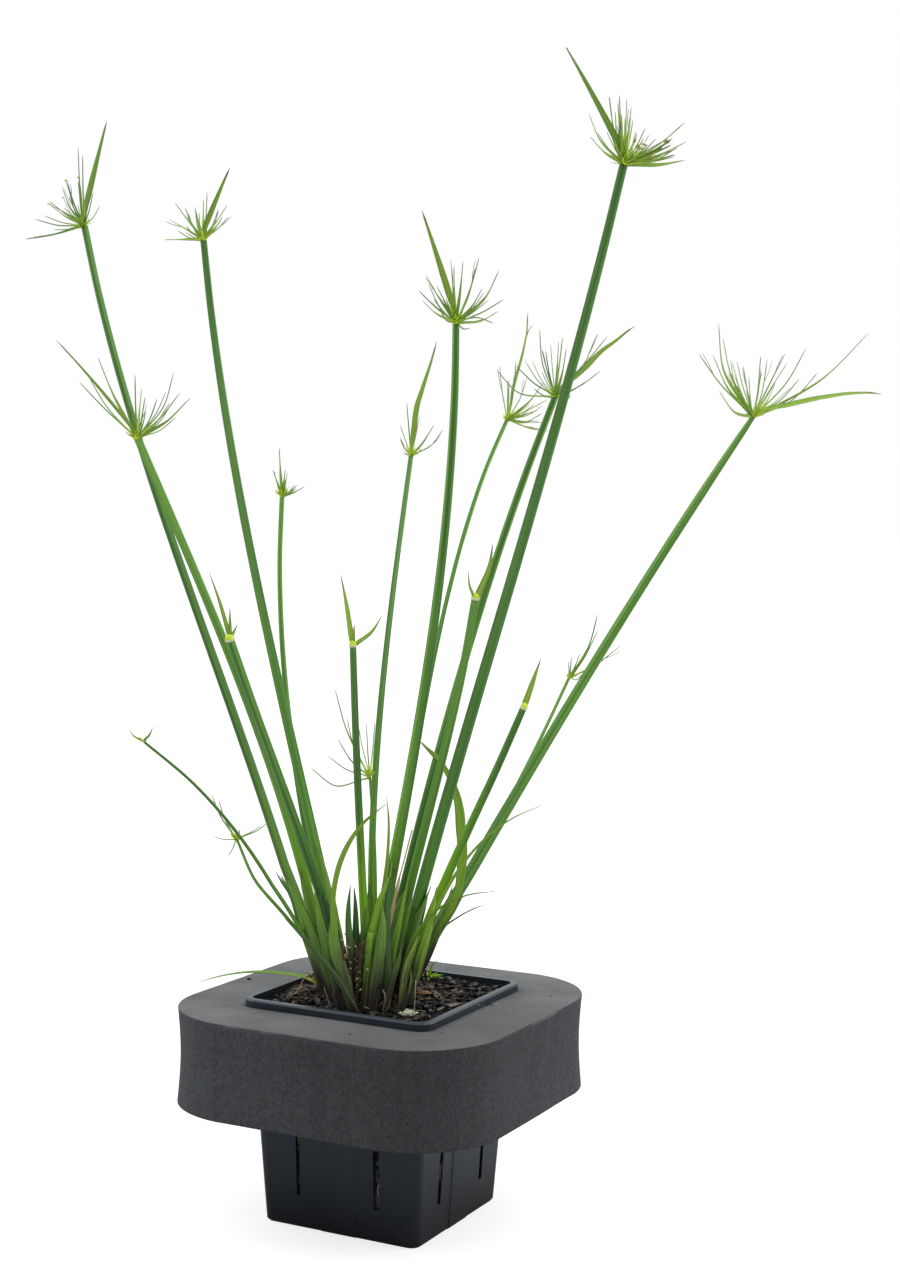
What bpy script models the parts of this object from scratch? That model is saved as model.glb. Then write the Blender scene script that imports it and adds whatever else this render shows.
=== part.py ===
"""Potted dwarf papyrus: a slotted square pond pot in a foam float, bark mulch and a clump of rayed stems."""

from collections import namedtuple
from math import cos, pi, radians, sin

import bmesh
import bpy
from mathutils import Vector

MM = 0.001
GAP = 0.3 * MM

# Pot: a tapered square wall, a folded rim and one raised panel down the middle of each wall.
POT_HEIGHT = 117 * MM
BASE_SIDE = 90 * MM
WALL_TOP_SIDE = 103.7 * MM
WALL_TOP_Z = 113.2 * MM
RIM_SIDE = 109 * MM
SHEET = 1.2 * MM
FLOOR = 1.6 * MM
WALL_CORNER = 5 * MM
RIM_CORNER = 8 * MM
PANEL_HALF_WIDTH = 10 * MM
PANEL_EDGE = 0.6 * MM
PANEL_RISE = 0.4 * MM
FOOT_CHAMFER = 0.75 * MM
FOOT_HEIGHT = 1 * MM
RIM_CHAMFER = 0.8 * MM
SLIT_BOTTOM_Z = 17 * MM
SLIT_HEIGHT = 70 * MM
SLIT_WIDTH = 3.4 * MM
NARROW_SLIT_WIDTH = 2.2 * MM
SLIT_FROM_MIDDLE = 23 * MM
CUTTER_DEPTH = 12 * MM

# Float: a square ring of foam, slightly waisted where the die pressed it.
FLOAT_SIDE = 180 * MM
FLOAT_CORNER = 47 * MM
FLOAT_BOTTOM_Z = 63 * MM
FLOAT_TOP_Z = WALL_TOP_Z - GAP
FLOAT_WAIST = 1 * MM

# Growing mix, with the crown of the plant sitting in its top.
MULCH_EDGE_Z = 112 * MM
MULCH_TOP_Z = 112.6 * MM
MOUND_SHARE = 0.75
CROWN_TOP_Z = 114 * MM
CROWN_CENTRE = Vector((-6, -8, 0)) * MM
CROWN_RADIUS = 36.5 * MM
CROWN_TOP_RADIUS = 36 * MM
CROWN_SIDES = 20

CORNER_STEPS = 4
FLOAT_CORNER_STEPS = 8

# Stems rise from the crown as slender arcs, each in one upright plane.
STEM_STEP = 36 * MM
HUB_RADIUS = 3 * MM
BUD_RADIUS = 2 * MM
BRACT_CLEARANCE = radians(38)
BRACT_ARCH = 1.5 * MM

# A blade's half width along its length, as shares of the length and of the widest half width.
LEAF_THICKNESS = 0.5 * MM
BLADE_STEPS = 7
BLADE_PROFILE = ((0, 0.7), (0.25, 1), (0.4, 1), (1, 0.15))
BLADE_FOLD = 0.45
BLADE_FACE_RISE = 0.3

# The plant was measured in a frame turned to this compass angle: across, toward the eye, up.
VIEW_TURN = radians(27.6)
ACROSS = Vector((cos(VIEW_TURN), sin(VIEW_TURN), 0))
TOWARD = Vector((sin(VIEW_TURN), -cos(VIEW_TURN), 0))

# foot: x and y on the crown in mm. heading: compass degrees from +X. leans: degrees from upright
# at the foot, the middle and the tip. length and thick (foot, tip) in mm.
Stem = namedtuple("Stem", "foot heading leans length thick")
STEMS = {
    "01": Stem((-37, -4), -175, (17, 22.5, 12.5), 432, (5, 3.4)),
    "02": Stem((-20, -22.5), -126, (9.5, 21.5, 24.5), 306, (5.2, 3.9)),
    "03": Stem((-16, -33.5), -129, (19, 34, 53.5), 171, (2.2, 1.2)),
    "04": Stem((-21.5, -2), -171, (13.5, 13.5, 6), 404, (5.8, 3.4)),
    "05": Stem((-8, -20.5), -103, (19, 26, 24.5), 209, (5, 4.2)),
    "06": Stem((-26.5, -22.5), -130, (2, 37, 12.5), 97, (2.2, 1.4)),
    "07": Stem((-31.5, 7), 155, (26, 14.5, -6), 270, (3.2, 2.2)),
    "08": Stem((0, -17), -70, (17.5, 17, 11), 195, (4.2, 3.2)),
    "09": Stem((6.5, -26), -29, (9.5, -1.5, -11.5), 119, (2, 1.4)),
    "10": Stem((-13.5, 14), 103, (-16.5, 15.5, 24), 296, (4.4, 2.8)),
    "11": Stem((-5.5, -7.5), -14, (13.5, 10.5, -1), 351, (6.2, 3.5)),
    "12": Stem((7.5, -10.5), -7, (10, 16, 9), 216, (4.8, 4)),
    "13": Stem((-20, 23), 78, (19, 16, 36.5), 327, (3.2, 2.6)),
    "14": Stem((14.5, -6), -9, (17, 27, 25), 173, (5.2, 3.4)),
    "15": Stem((-6, 6.5), 53, (13.5, 17, 23.5), 331, (5.4, 4)),
    "16": Stem((-0.5, 25), 51, (33, 30.5, 26), 188, (2.8, 1.6)),
    "17": Stem((5, 1), -8, (16, 18.5, 14.5), 438, (6.8, 3.8)),
    "18": Stem((6, 10), 32, (29, 30.5, 33.5), 353, (6.9, 3.9)),
}

# Ray tips from the hub's centre, in mm: across, toward, up.
RAYS = {
    "01": [(-22, 19, -3), (-26, -24, 5), (-13, 25, 4), (-16, -24, 21), (-5, 23, 17), (-7, -26, 21),
           (1, 7, 33), (0, 15, 36), (14, 28, 3), (-33, -9, -10)],
    "02": [(-23, 20, 22), (-19, -7, 36), (3, 18, 26), (0, -23, 22), (9, 26, 15), (18, -7, 29),
           (24, 15, 18), (14, -23, 15), (28, 13, 15), (17, -23, 8)],
    "03": [(7, 3, 6), (-5, 4, 5)],
    "04": [(-11, 15, -1), (-19, -8, 8), (-14, 5, 15), (-11, -12, 15), (-2, 15, 10), (-1, -11, 19),
           (2, -2, 22), (12, -8, 16), (15, 12, 7), (-21, -6, -3)],
    "05": [(1, 4, 14), (4, -3, 5), (-9, 4, 30)],
    "06": [(-11, 5, 20), (-9, -10, 15), (5, 19, 5), (19, -6, 7), (-1, 16, -9)],
    "07": [(-5, 4, 11), (-2, -2, 23), (2, 5, 11), (1, -9, 6), (8, 9, 2), (12, -3, 2)],
    "08": [(1, 3, 8), (-6, 1, 32), (14, -5, 12)],
    "09": [(-29, 8, 1), (-22, -18, 4), (-15, 18, 17), (-18, -4, 40), (-1, 17, 25), (2, -16, 22)],
    "10": [(-6, 17, 5), (-7, -13, 14), (-3, 5, 25), (12, -9, 14), (17, 6, 11), (5, -18, 1)],
    "11": [(-8, 23, 1), (-17, -19, 9), (-11, 21, 6), (-14, -17, 17), (-15, 13, 17), (-3, -6, 28),
           (3, 7, 26), (11, -6, 29), (9, 12, 22), (21, -6, 23), (23, 12, 7), (21, -17, 4),
           (18, 18, -5), (7, -23, -4)],
    "12": [(-4, 4, 12), (8, -3, 25)],
    "13": [(-1, 17, 18), (-6, -2, 27), (3, 9, 29), (10, -14, 21), (19, 7, 18), (22, -13, 9),
           (17, 18, -1), (19, -17, -4), (22, 11, -10), (15, -19, -7)],
    "14": [(7, 2, 22)],
    "15": [(-14, 28, -1), (-33, -8, 11), (-23, 21, 11), (-17, -23, 17), (-10, 23, 20),
           (-10, -9, 33), (-8, 24, 19), (3, -18, 30), (3, 23, 21), (22, -22, 32), (25, 15, 28),
           (24, -21, 12), (13, 27, 3), (9, -30, -1)],
    "16": [(-2, 26, 10), (14, -7, 31), (13, 14, 24), (27, -8, 14), (4, 27, 1)],
    "17": [(-18, 20, 5), (-17, -12, 22), (-8, -3, 28), (-3, -14, 28), (-4, 7, 27), (1, -11, 29),
           (1, 16, 20), (5, -21, 21), (7, 22, 9), (13, -22, 14), (27, 6, 15), (29, -6, 8),
           (23, 14, 2), (29, -9, 0)],
    "18": [(-24, 31, 8), (-30, -9, 30), (-26, 19, 27), (-11, -26, 28), (-20, 9, 37), (-20, -9, 46),
           (-12, 30, 21), (0, -33, 20), (-3, 28, 26), (9, -28, 29), (10, 24, 28), (19, -28, 26),
           (23, 11, 32), (59, -7, 42), (17, 28, 15), (22, -32, 14), (28, 18, 19)],
}
BUDS = ("03", "05", "08", "12", "14")

# The longest bract of each big umbel: its tip from the hub's centre, in mm, and its width.
BRACTS = {
    "01": ((11, -12, 56), 3.2),
    "02": ((-38, 10, 45), 2.2),
    "04": ((15, 8, 33), 3),
    "10": ((13, -8, 60), 3.4),
    "11": ((-18, 10, 52), 3.8),
    "13": ((10, -12, 59), 2),
    "15": ((43, -10, 37), 3.6),
    "17": ((-30, 14, 48), 4.4),
    "18": ((63, 12, 9), 3.2),
}

# Loose leaves: start, the point they bend toward and tip, in mm across, toward and up, then width.
LEAVES = {
    "leaf_arched": ((-17, 30, 115), (-40, 48, 195), (2, 62, 224), 4.4),
    "leaf_tall_right": ((16, 3, 115), (68, 10, 212), (18, 14, 249), 5),
    "leaf_long_right": ((12, 28, 115), (29, 45, 205), (77, 76, 226), 3),
    "leaf_low_right": ((8, 24, 115), (11, 42, 176), (56, 50, 179), 2),
    "leaf_lowest_right": ((18, -14, 115), (34, -24, 152), (54, -30, 157), 1.6),
    "leaf_upright": ((-12, 26, 115), (6.5, 26, 190), (1, 30, 223), 2.8),
    "leaf_on_float": ((-32, -17, 116), (-67, -32, 124), (-99, -23, 114.5), 2),
    "leaf_dead": ((-2, 20, 115), (6, 21, 170), (15, 22, 205), 2.2),
}
LEVEL_LEAVES = ("leaf_on_float",)
DRY_LEAVES = ("leaf_dead",)

# Small things on the crown and the mulch: places are across and toward, in mm.
STUB_PLACE = (-6, 35)
STUB_HEIGHT = 40 * MM
STUB_FOOT_RADIUS = 2.6 * MM
STUB_TOP_RADIUS = 2.1 * MM
STUB_SIDES = 12
SEEDLING_PLACE = (22, -31)
SEEDLING_RADIUS = 2 * MM
SEEDLING_LEAF = 6 * MM
SEEDLING_TALL_LEAF = 13 * MM
CHIP_PLACE = (14, 40)
CHIP_SIZE = Vector((9, 4, 2)) * MM
CHIP_BEVEL = 0.5 * MM


def from_view(across, toward, up):
    return (ACROSS * across + TOWARD * toward + Vector((0, 0, up))) * MM


def clear_scene():
    for item in list(bpy.data.objects):
        bpy.data.objects.remove(item)


def new_collection(name):
    collection = bpy.data.collections.new(name)
    bpy.context.scene.collection.children.link(collection)
    return collection


def material(name, colour, roughness):
    made = bpy.data.materials.new(name)
    made.use_nodes = True
    shader = made.node_tree.nodes["Principled BSDF"]
    shader.inputs["Base Color"].default_value = (*colour, 1)
    shader.inputs["Roughness"].default_value = roughness
    shader.inputs["Metallic"].default_value = 0
    return made


def new_object(name, bm, collection, surface):
    bmesh.ops.recalc_face_normals(bm, faces=bm.faces)
    mesh = bpy.data.meshes.new(name)
    bm.to_mesh(mesh)
    bm.free()
    made = bpy.data.objects.new(name, mesh)
    mesh.materials.append(surface)
    collection.objects.link(made)
    return made


def rounded_square(side, corner, z, steps, panel=0.0):
    """One loop of points, with a raised panel in the middle of each side where panel is over 0."""
    half = side / 2
    loop = []
    for turn in range(4):
        quarter = turn * pi / 2
        along = Vector((-sin(quarter), cos(quarter), 0))
        out = Vector((cos(quarter), sin(quarter), 0))
        for reach, rise in (
            (-PANEL_HALF_WIDTH - PANEL_EDGE, 0),
            (-PANEL_HALF_WIDTH, panel),
            (PANEL_HALF_WIDTH, panel),
            (PANEL_HALF_WIDTH + PANEL_EDGE, 0),
        ):
            loop.append(along * reach + out * (half + rise) + Vector((0, 0, z)))
        centre = (along + out) * (half - corner)
        for step in range(steps + 1):
            angle = quarter + step / steps * pi / 2
            loop.append(centre + corner * Vector((cos(angle), sin(angle), 0)) + Vector((0, 0, z)))
    return loop


def loft(loops, ring=False):
    """Joins loops of equal length by quads. A ring closes on its first loop, anything else is capped."""
    bm = bmesh.new()
    rows = [[bm.verts.new(point) for point in loop] for loop in loops]
    pairs = list(zip(rows, rows[1:]))
    if ring:
        pairs.append((rows[-1], rows[0]))
    else:
        bm.faces.new(rows[0])
        bm.faces.new(rows[-1])
    for lower, upper in pairs:
        count = len(lower)
        for i in range(count):
            bm.faces.new((lower[i], lower[(i + 1) % count], upper[(i + 1) % count], upper[i]))
    return bm


def wall_side(z):
    return BASE_SIDE + (WALL_TOP_SIDE - BASE_SIDE) * z / WALL_TOP_Z


def cut(target, cutter):
    modifier = target.modifiers.new("cut " + cutter.name, "BOOLEAN")
    modifier.operation = "DIFFERENCE"
    modifier.solver = "EXACT"
    modifier.object = cutter


def slit_cutters(collection):
    """Two slits in each wall. The left one in the -Y wall was moulded narrower."""
    bm = bmesh.new()
    for turn in range(4):
        quarter = turn * pi / 2
        for side in (-1, 1):
            narrow = turn == 3 and side == -1
            width = NARROW_SLIT_WIDTH if narrow else SLIT_WIDTH
            out = Vector((cos(quarter), sin(quarter), 0))
            along = Vector((-sin(quarter), cos(quarter), 0))
            made = bmesh.ops.create_cube(bm, size=1)["verts"]
            for corner in made:
                reach = corner.co.x * CUTTER_DEPTH + BASE_SIDE / 2
                across = corner.co.y * width + side * SLIT_FROM_MIDDLE
                height = (corner.co.z + 0.5) * SLIT_HEIGHT + SLIT_BOTTOM_Z
                corner.co = out * reach + along * across + Vector((0, 0, height))
    return new_object("slit_cutters", bm, collection, None)


def pot(parts, cutters, plastic):
    lip_z = POT_HEIGHT - SHEET
    inner_top = wall_side(POT_HEIGHT) - 2 * SHEET
    inner_floor = wall_side(FLOOR) - 2 * SHEET
    profile = (
        (BASE_SIDE - 2 * FOOT_CHAMFER, WALL_CORNER, 0, PANEL_RISE),
        (BASE_SIDE, WALL_CORNER, FOOT_HEIGHT, PANEL_RISE),
        (wall_side(lip_z), WALL_CORNER, lip_z, PANEL_RISE),
        (RIM_SIDE - 2 * SHEET, RIM_CORNER - SHEET, lip_z, 0),
        (RIM_SIDE - 2 * SHEET, RIM_CORNER - SHEET, WALL_TOP_Z, 0),
        (RIM_SIDE, RIM_CORNER, WALL_TOP_Z, 0),
        (RIM_SIDE, RIM_CORNER, POT_HEIGHT - RIM_CHAMFER, 0),
        (RIM_SIDE - 2 * RIM_CHAMFER, RIM_CORNER - RIM_CHAMFER, POT_HEIGHT, 0),
        (inner_top, WALL_CORNER, POT_HEIGHT, 0),
        (inner_floor, WALL_CORNER, FLOOR, 0),
    )
    loops = [rounded_square(side, corner, z, CORNER_STEPS, rise) for side, corner, z, rise in profile]
    made = new_object("pot", loft(loops), parts, plastic)
    cut(made, slit_cutters(cutters))
    return made


def foam_float(parts, foam):
    waist_z = (FLOAT_BOTTOM_Z + FLOAT_TOP_Z) / 2
    quarter_height = (FLOAT_TOP_Z - FLOAT_BOTTOM_Z) / 4
    outline = (
        (FLOAT_SIDE, FLOAT_BOTTOM_Z),
        (FLOAT_SIDE - 1.5 * FLOAT_WAIST, waist_z - quarter_height),
        (FLOAT_SIDE - 2 * FLOAT_WAIST, waist_z),
        (FLOAT_SIDE - 1.5 * FLOAT_WAIST, waist_z + quarter_height),
        (FLOAT_SIDE, FLOAT_TOP_Z),
    )
    loops = [rounded_square(side, FLOAT_CORNER, z, FLOAT_CORNER_STEPS) for side, z in outline]
    clearance = 2 * (PANEL_RISE + GAP)
    for z in (FLOAT_TOP_Z, FLOAT_BOTTOM_Z):
        loops.append(rounded_square(wall_side(z) + clearance, WALL_CORNER, z, FLOAT_CORNER_STEPS))
    return new_object("foam_float", loft(loops, ring=True), parts, foam)


def bark_mulch(parts, bark):
    def inside(z):
        return wall_side(z) - 2 * SHEET - 2 * GAP

    low_z = FLOOR + GAP
    mound_side = inside(MULCH_EDGE_Z) * MOUND_SHARE
    loops = [
        rounded_square(inside(low_z), WALL_CORNER, low_z, CORNER_STEPS),
        rounded_square(inside(MULCH_EDGE_Z), WALL_CORNER, MULCH_EDGE_Z, CORNER_STEPS),
        rounded_square(mound_side, WALL_CORNER, MULCH_TOP_Z, CORNER_STEPS),
    ]
    return new_object("bark_mulch", loft(loops), parts, bark)


def crown(parts, surface):
    bm = bmesh.new()
    low = MULCH_TOP_Z + GAP
    height = CROWN_TOP_Z - low
    bmesh.ops.create_cone(
        bm,
        cap_ends=True,
        segments=CROWN_SIDES,
        radius1=CROWN_RADIUS,
        radius2=CROWN_TOP_RADIUS,
        depth=height,
    )
    bmesh.ops.translate(bm, verts=bm.verts, vec=CROWN_CENTRE + Vector((0, 0, low + height / 2)))
    return new_object("crown", bm, parts, surface)


def lean_along(leans, share):
    """Leans at the foot, the middle and the tip, joined by one smooth curve."""
    foot, middle, tip = leans
    weights = ((1 - share) * (1 - 2 * share), 4 * share * (1 - share), share * (2 * share - 1))
    return radians(foot * weights[0] + middle * weights[1] + tip * weights[2])


def stem_points(stem):
    heading = Vector((cos(radians(stem.heading)), sin(radians(stem.heading)), 0))
    length = stem.length * MM
    steps = max(4, round(length / STEM_STEP))
    first_lean = abs(lean_along(stem.leans, 0.5 / steps))
    lift = GAP + stem.thick[0] / 2 * MM * sin(first_lean)
    points = [Vector((stem.foot[0] * MM, stem.foot[1] * MM, CROWN_TOP_Z + lift))]
    for step in range(steps):
        lean = lean_along(stem.leans, (step + 0.5) / steps)
        run = heading * sin(lean) + Vector((0, 0, cos(lean)))
        points.append(points[-1] + run * length / steps)
    return points


def stem_object(number, stem, parts, surface):
    curve = bpy.data.curves.new("stem_" + number, "CURVE")
    curve.dimensions = "3D"
    curve.bevel_depth = stem.thick[0] / 2 * MM
    curve.bevel_resolution = 2
    curve.use_fill_caps = True
    points = stem_points(stem)
    spline = curve.splines.new("POLY")
    spline.points.add(len(points) - 1)
    for i, (place, point) in enumerate(zip(spline.points, points)):
        share = i / (len(points) - 1)
        place.co = (*point, 1)
        place.radius = 1 + share * (stem.thick[1] / stem.thick[0] - 1)
    made = bpy.data.objects.new("stem_" + number, curve)
    curve.materials.append(surface)
    parts.objects.link(made)
    return made


def hub_centre(stem, hub_radius):
    points = stem_points(stem)
    direction = (points[-1] - points[-2]).normalized()
    return points[-1] + direction * (hub_radius + GAP)


def beside_bract(number, place):
    """Whether a place on the hub is clear of the spot that the long bract grows from."""
    if number not in BRACTS:
        return True
    return place.angle(from_view(*BRACTS[number][0])) > BRACT_CLEARANCE


def head(number, stem, parts, surface):
    """A round hub with one long spike for each ray, drawn out of the face that looks that way."""
    hub_radius = BUD_RADIUS if number in BUDS else HUB_RADIUS
    centre = hub_centre(stem, hub_radius)
    bm = bmesh.new()
    bmesh.ops.create_icosphere(bm, subdivisions=2, radius=hub_radius)
    free = [face for face in bm.faces if beside_bract(number, face.calc_center_median())]
    chosen = []
    for ray in RAYS[number]:
        tip = from_view(*ray)
        nearest = max(free, key=lambda face: face.calc_center_median().normalized().dot(tip.normalized()))
        free.remove(nearest)
        chosen.append((nearest, tip))
    for face, tip in chosen:
        spike = bmesh.ops.poke(bm, faces=[face])["verts"][0]
        spike.co = tip
    bmesh.ops.translate(bm, verts=bm.verts, vec=centre)
    return new_object("head_" + number, bm, parts, surface)


def blade_width(share):
    """The share of the widest half width at one share of a blade's length."""
    for (low, low_width), (high, high_width) in zip(BLADE_PROFILE, BLADE_PROFILE[1:]):
        if share <= high:
            return low_width + (high_width - low_width) * (share - low) / (high - low)
    return BLADE_PROFILE[-1][1]


def blade(name, start, bend, tip, width, parts, surface):
    """A leaf along a bent line: a narrow strip folded at its midrib, given its thickness by Solidify."""
    upper_side = Vector((0, 0, 1)) if name in LEVEL_LEAVES else TOWARD + Vector((0, 0, BLADE_FACE_RISE))
    bm = bmesh.new()
    rows = []
    for step in range(BLADE_STEPS + 1):
        share = step / BLADE_STEPS
        point = start * (1 - share) ** 2 + bend * 2 * share * (1 - share) + tip * share**2
        run = ((bend - start) * (1 - share) + (tip - bend) * share).normalized()
        side = run.cross(upper_side).normalized()
        keel = side.cross(run)
        half = width * MM / 2 * blade_width(share)
        fold = keel * half * BLADE_FOLD
        rows.append([bm.verts.new(point + offset) for offset in (side * half, -fold, -side * half)])
    for lower, upper in zip(rows, rows[1:]):
        for i in (0, 1):
            bm.faces.new((lower[i], lower[i + 1], upper[i + 1], upper[i]))
    made = new_object(name, bm, parts, surface)
    thicken = made.modifiers.new("thickness", "SOLIDIFY")
    thicken.thickness = LEAF_THICKNESS
    thicken.offset = 0
    return made


def bract(number, parts, surface):
    offset, width = BRACTS[number]
    centre = hub_centre(STEMS[number], HUB_RADIUS)
    reach = from_view(*offset)
    start = centre + reach.normalized() * (HUB_RADIUS + 2 * GAP)
    tip = centre + reach
    bend = start.lerp(tip, 0.5) + Vector((0, 0, BRACT_ARCH))
    return blade("bract_" + number, start, bend, tip, width, parts, surface)


def stub(parts, surface):
    """A stem cut off short in front of the clump, with a flat top."""
    bm = bmesh.new()
    bmesh.ops.create_cone(
        bm,
        cap_ends=True,
        segments=STUB_SIDES,
        radius1=STUB_FOOT_RADIUS,
        radius2=STUB_TOP_RADIUS,
        depth=STUB_HEIGHT,
    )
    middle = from_view(*STUB_PLACE, 0) + Vector((0, 0, CROWN_TOP_Z + GAP + STUB_HEIGHT / 2))
    bmesh.ops.translate(bm, verts=bm.verts, vec=middle)
    return new_object("cut_stub", bm, parts, surface)


def seedling(parts, surface):
    """A small self-sown rosette behind the clump, with one leaf taller than the rest."""
    bm = bmesh.new()
    bmesh.ops.create_icosphere(bm, subdivisions=1, radius=SEEDLING_RADIUS)
    up_faces = [face for face in bm.faces if face.calc_center_median().z > 0]
    tallest = max(up_faces, key=lambda face: face.calc_center_median().z)
    for face in up_faces:
        out = face.calc_center_median().normalized()
        length = SEEDLING_TALL_LEAF if face is tallest else SEEDLING_LEAF
        spike = bmesh.ops.poke(bm, faces=[face])["verts"][0]
        spike.co = out * length
    place = from_view(*SEEDLING_PLACE, 0) + Vector((0, 0, MULCH_TOP_Z + GAP + SEEDLING_RADIUS))
    bmesh.ops.translate(bm, verts=bm.verts, vec=place)
    return new_object("seedling", bm, parts, surface)


def pale_chip(parts, surface):
    """A sliver of pale bark lying flat on the darker mulch."""
    bm = bmesh.new()
    bmesh.ops.create_cube(bm, size=1)
    bmesh.ops.scale(bm, verts=bm.verts, vec=CHIP_SIZE)
    bmesh.ops.bevel(bm, geom=bm.edges[:], offset=CHIP_BEVEL, segments=1, affect="EDGES")
    place = from_view(*CHIP_PLACE, 0) + Vector((0, 0, MULCH_TOP_Z + GAP + CHIP_SIZE.z / 2))
    bmesh.ops.translate(bm, verts=bm.verts, vec=place)
    return new_object("pale_chip", bm, parts, surface)


def build():
    clear_scene()
    parts = new_collection("potted_papyrus")
    cutters = new_collection("cutters")
    plastic = material("black_plastic", (0.02, 0.022, 0.026), 0.38)
    foam = material("grey_foam", (0.055, 0.055, 0.06), 0.9)
    bark = material("wet_bark", (0.03, 0.02, 0.014), 0.8)
    rhizome = material("rhizome", (0.12, 0.09, 0.04), 0.7)
    stem_green = material("stem_green", (0.07, 0.2, 0.04), 0.45)
    ray_green = material("ray_green", (0.3, 0.42, 0.05), 0.5)
    leaf_green = material("leaf_green", (0.22, 0.38, 0.04), 0.5)
    dry_leaf = material("dry_leaf", (0.35, 0.24, 0.1), 0.7)
    chip_pale = material("chip_pale", (0.5, 0.36, 0.2), 0.8)

    pot(parts, cutters, plastic)
    foam_float(parts, foam)
    bark_mulch(parts, bark)
    crown(parts, rhizome)
    for number, stem in STEMS.items():
        stem_object(number, stem, parts, stem_green)
        head(number, stem, parts, ray_green)
    for number in BRACTS:
        bract(number, parts, leaf_green)
    for name, (*places, width) in LEAVES.items():
        start, bend, tip = (from_view(*place) for place in places)
        surface = dry_leaf if name in DRY_LEAVES else leaf_green
        blade(name, start, bend, tip, width, parts, surface)
    stub(parts, stem_green)
    seedling(parts, ray_green)
    pale_chip(parts, chip_pale)

    for cutter in cutters.objects:
        cutter.hide_render = True
        cutter.display_type = "WIRE"
    cutters.hide_render = True


build()
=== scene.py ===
"""Looks of the potted dwarf papyrus: finishes, fine meshes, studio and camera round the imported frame."""

from math import cos, pi, radians, sin

import bpy
import numpy as np
from mathutils import Matrix, Vector


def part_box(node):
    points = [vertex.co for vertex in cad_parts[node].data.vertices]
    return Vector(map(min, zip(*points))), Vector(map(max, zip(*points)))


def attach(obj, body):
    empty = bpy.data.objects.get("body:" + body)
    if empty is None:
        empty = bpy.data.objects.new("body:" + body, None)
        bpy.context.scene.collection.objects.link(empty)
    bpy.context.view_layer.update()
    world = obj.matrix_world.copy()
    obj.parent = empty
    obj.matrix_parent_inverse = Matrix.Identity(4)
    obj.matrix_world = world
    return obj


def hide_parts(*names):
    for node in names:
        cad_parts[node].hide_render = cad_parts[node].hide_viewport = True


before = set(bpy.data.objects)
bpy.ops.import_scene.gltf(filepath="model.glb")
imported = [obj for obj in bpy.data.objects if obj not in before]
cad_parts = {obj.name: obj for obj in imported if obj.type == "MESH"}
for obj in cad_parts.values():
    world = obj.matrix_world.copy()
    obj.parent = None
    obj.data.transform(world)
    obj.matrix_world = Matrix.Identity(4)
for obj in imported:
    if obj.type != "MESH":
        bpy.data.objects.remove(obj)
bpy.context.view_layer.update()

# Studio. A low camera looks at the plant from a little above the pot's rim, turned to its corner.
# A pale floor lies under the pot, a soft dome of light stands over it and a softbox on each side.
mm = 0.001
view_turn = radians(27.6)
view_rise = radians(3.52)
view_roll = radians(0.74)
view_distance = 1062.5 * mm
aim_across = 32.1 * mm
aim_height = 303.2 * mm
across = np.array((cos(view_turn), sin(view_turn), 0))
toward = np.array((sin(view_turn), -cos(view_turn), 0))
upward = np.array((0, 0, 1.0))


def from_view(right, near, up):
    """A place in millimetres across, toward the camera and up, turned into the pot's own axes."""
    return (across * right + toward * near + upward * up) * mm


back = toward * cos(view_rise) + upward * sin(view_rise)
level_up = np.cross(back, across)
photo_right = across * cos(view_roll) + level_up * sin(view_roll)
photo_up = level_up * cos(view_roll) - across * sin(view_roll)
camera = bpy.data.objects.new("camera", bpy.data.cameras.new("camera"))
camera.data.lens = 58.06
camera.data.sensor_width = 36
camera.data.clip_end = 60
turned = Matrix((photo_right, photo_up, back)).transposed().to_4x4()
stand = across * aim_across + upward * aim_height + back * view_distance
camera.matrix_world = Matrix.Translation(stand) @ turned
bpy.context.scene.collection.objects.link(camera)
bpy.context.scene.camera = camera
bpy.context.scene.view_settings.view_transform = "Standard"


def feed(tree, node, values):
    """Sets the inputs of a shader node. Each value is a number, a colour or the socket that feeds it."""
    for name, value in values.items():
        socket = node.inputs[name]
        if isinstance(value, bpy.types.NodeSocket):
            tree.links.new(value, socket)
        else:
            socket.default_value = (*value, 1) if socket.type == "RGBA" else value


def add_node(tree, kind, values=(), **settings):
    """Adds a shader node with its settings and inputs."""
    made = tree.nodes.new("ShaderNode" + kind)
    for name, setting in settings.items():
        setattr(made, name, setting)
    feed(tree, made, dict(values))
    return made


def new_material(name):
    """A material with only its Principled shader, and the tree that holds it."""
    made = bpy.data.materials.new(name)
    made.use_nodes = True
    return made, made.node_tree, made.node_tree.nodes["Principled BSDF"]


def maths(tree, operation, first, second=0.0):
    """The number socket of one sum."""
    return add_node(tree, "Math", {0: first, 1: second}, operation=operation).outputs[0]


def times(tree, first, second):
    """The number socket of first times second."""
    return maths(tree, "MULTIPLY", first, second)


def plus(tree, first, second):
    """The number socket of first plus second."""
    return maths(tree, "ADD", first, second)


def rescale(tree, value, start, end, low=0.0, high=1.0, step="LINEAR"):
    """A number that goes from start to end while the value goes from low to high."""
    ends = {"Value": value, "From Min": low, "From Max": high, "To Min": start, "To Max": end}
    return add_node(tree, "MapRange", ends, interpolation_type=step).outputs["Result"]


def mix_colours(tree, share, first, second):
    """The colour socket of a mix from first to second."""
    mixed = add_node(tree, "Mix", {"Factor": share, "A": first, "B": second}, data_type="RGBA")
    return mixed.outputs["Result"]


def one_axis(tree, vector, axis="Z"):
    """One of the three numbers of a vector."""
    return add_node(tree, "SeparateXYZ", {"Vector": vector}).outputs[axis]


def reach_along(tree, place, way):
    """How far a place lies along a way."""
    return add_node(tree, "VectorMath", {0: place, 1: tuple(way)}, operation="DOT_PRODUCT").outputs["Value"]


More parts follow.
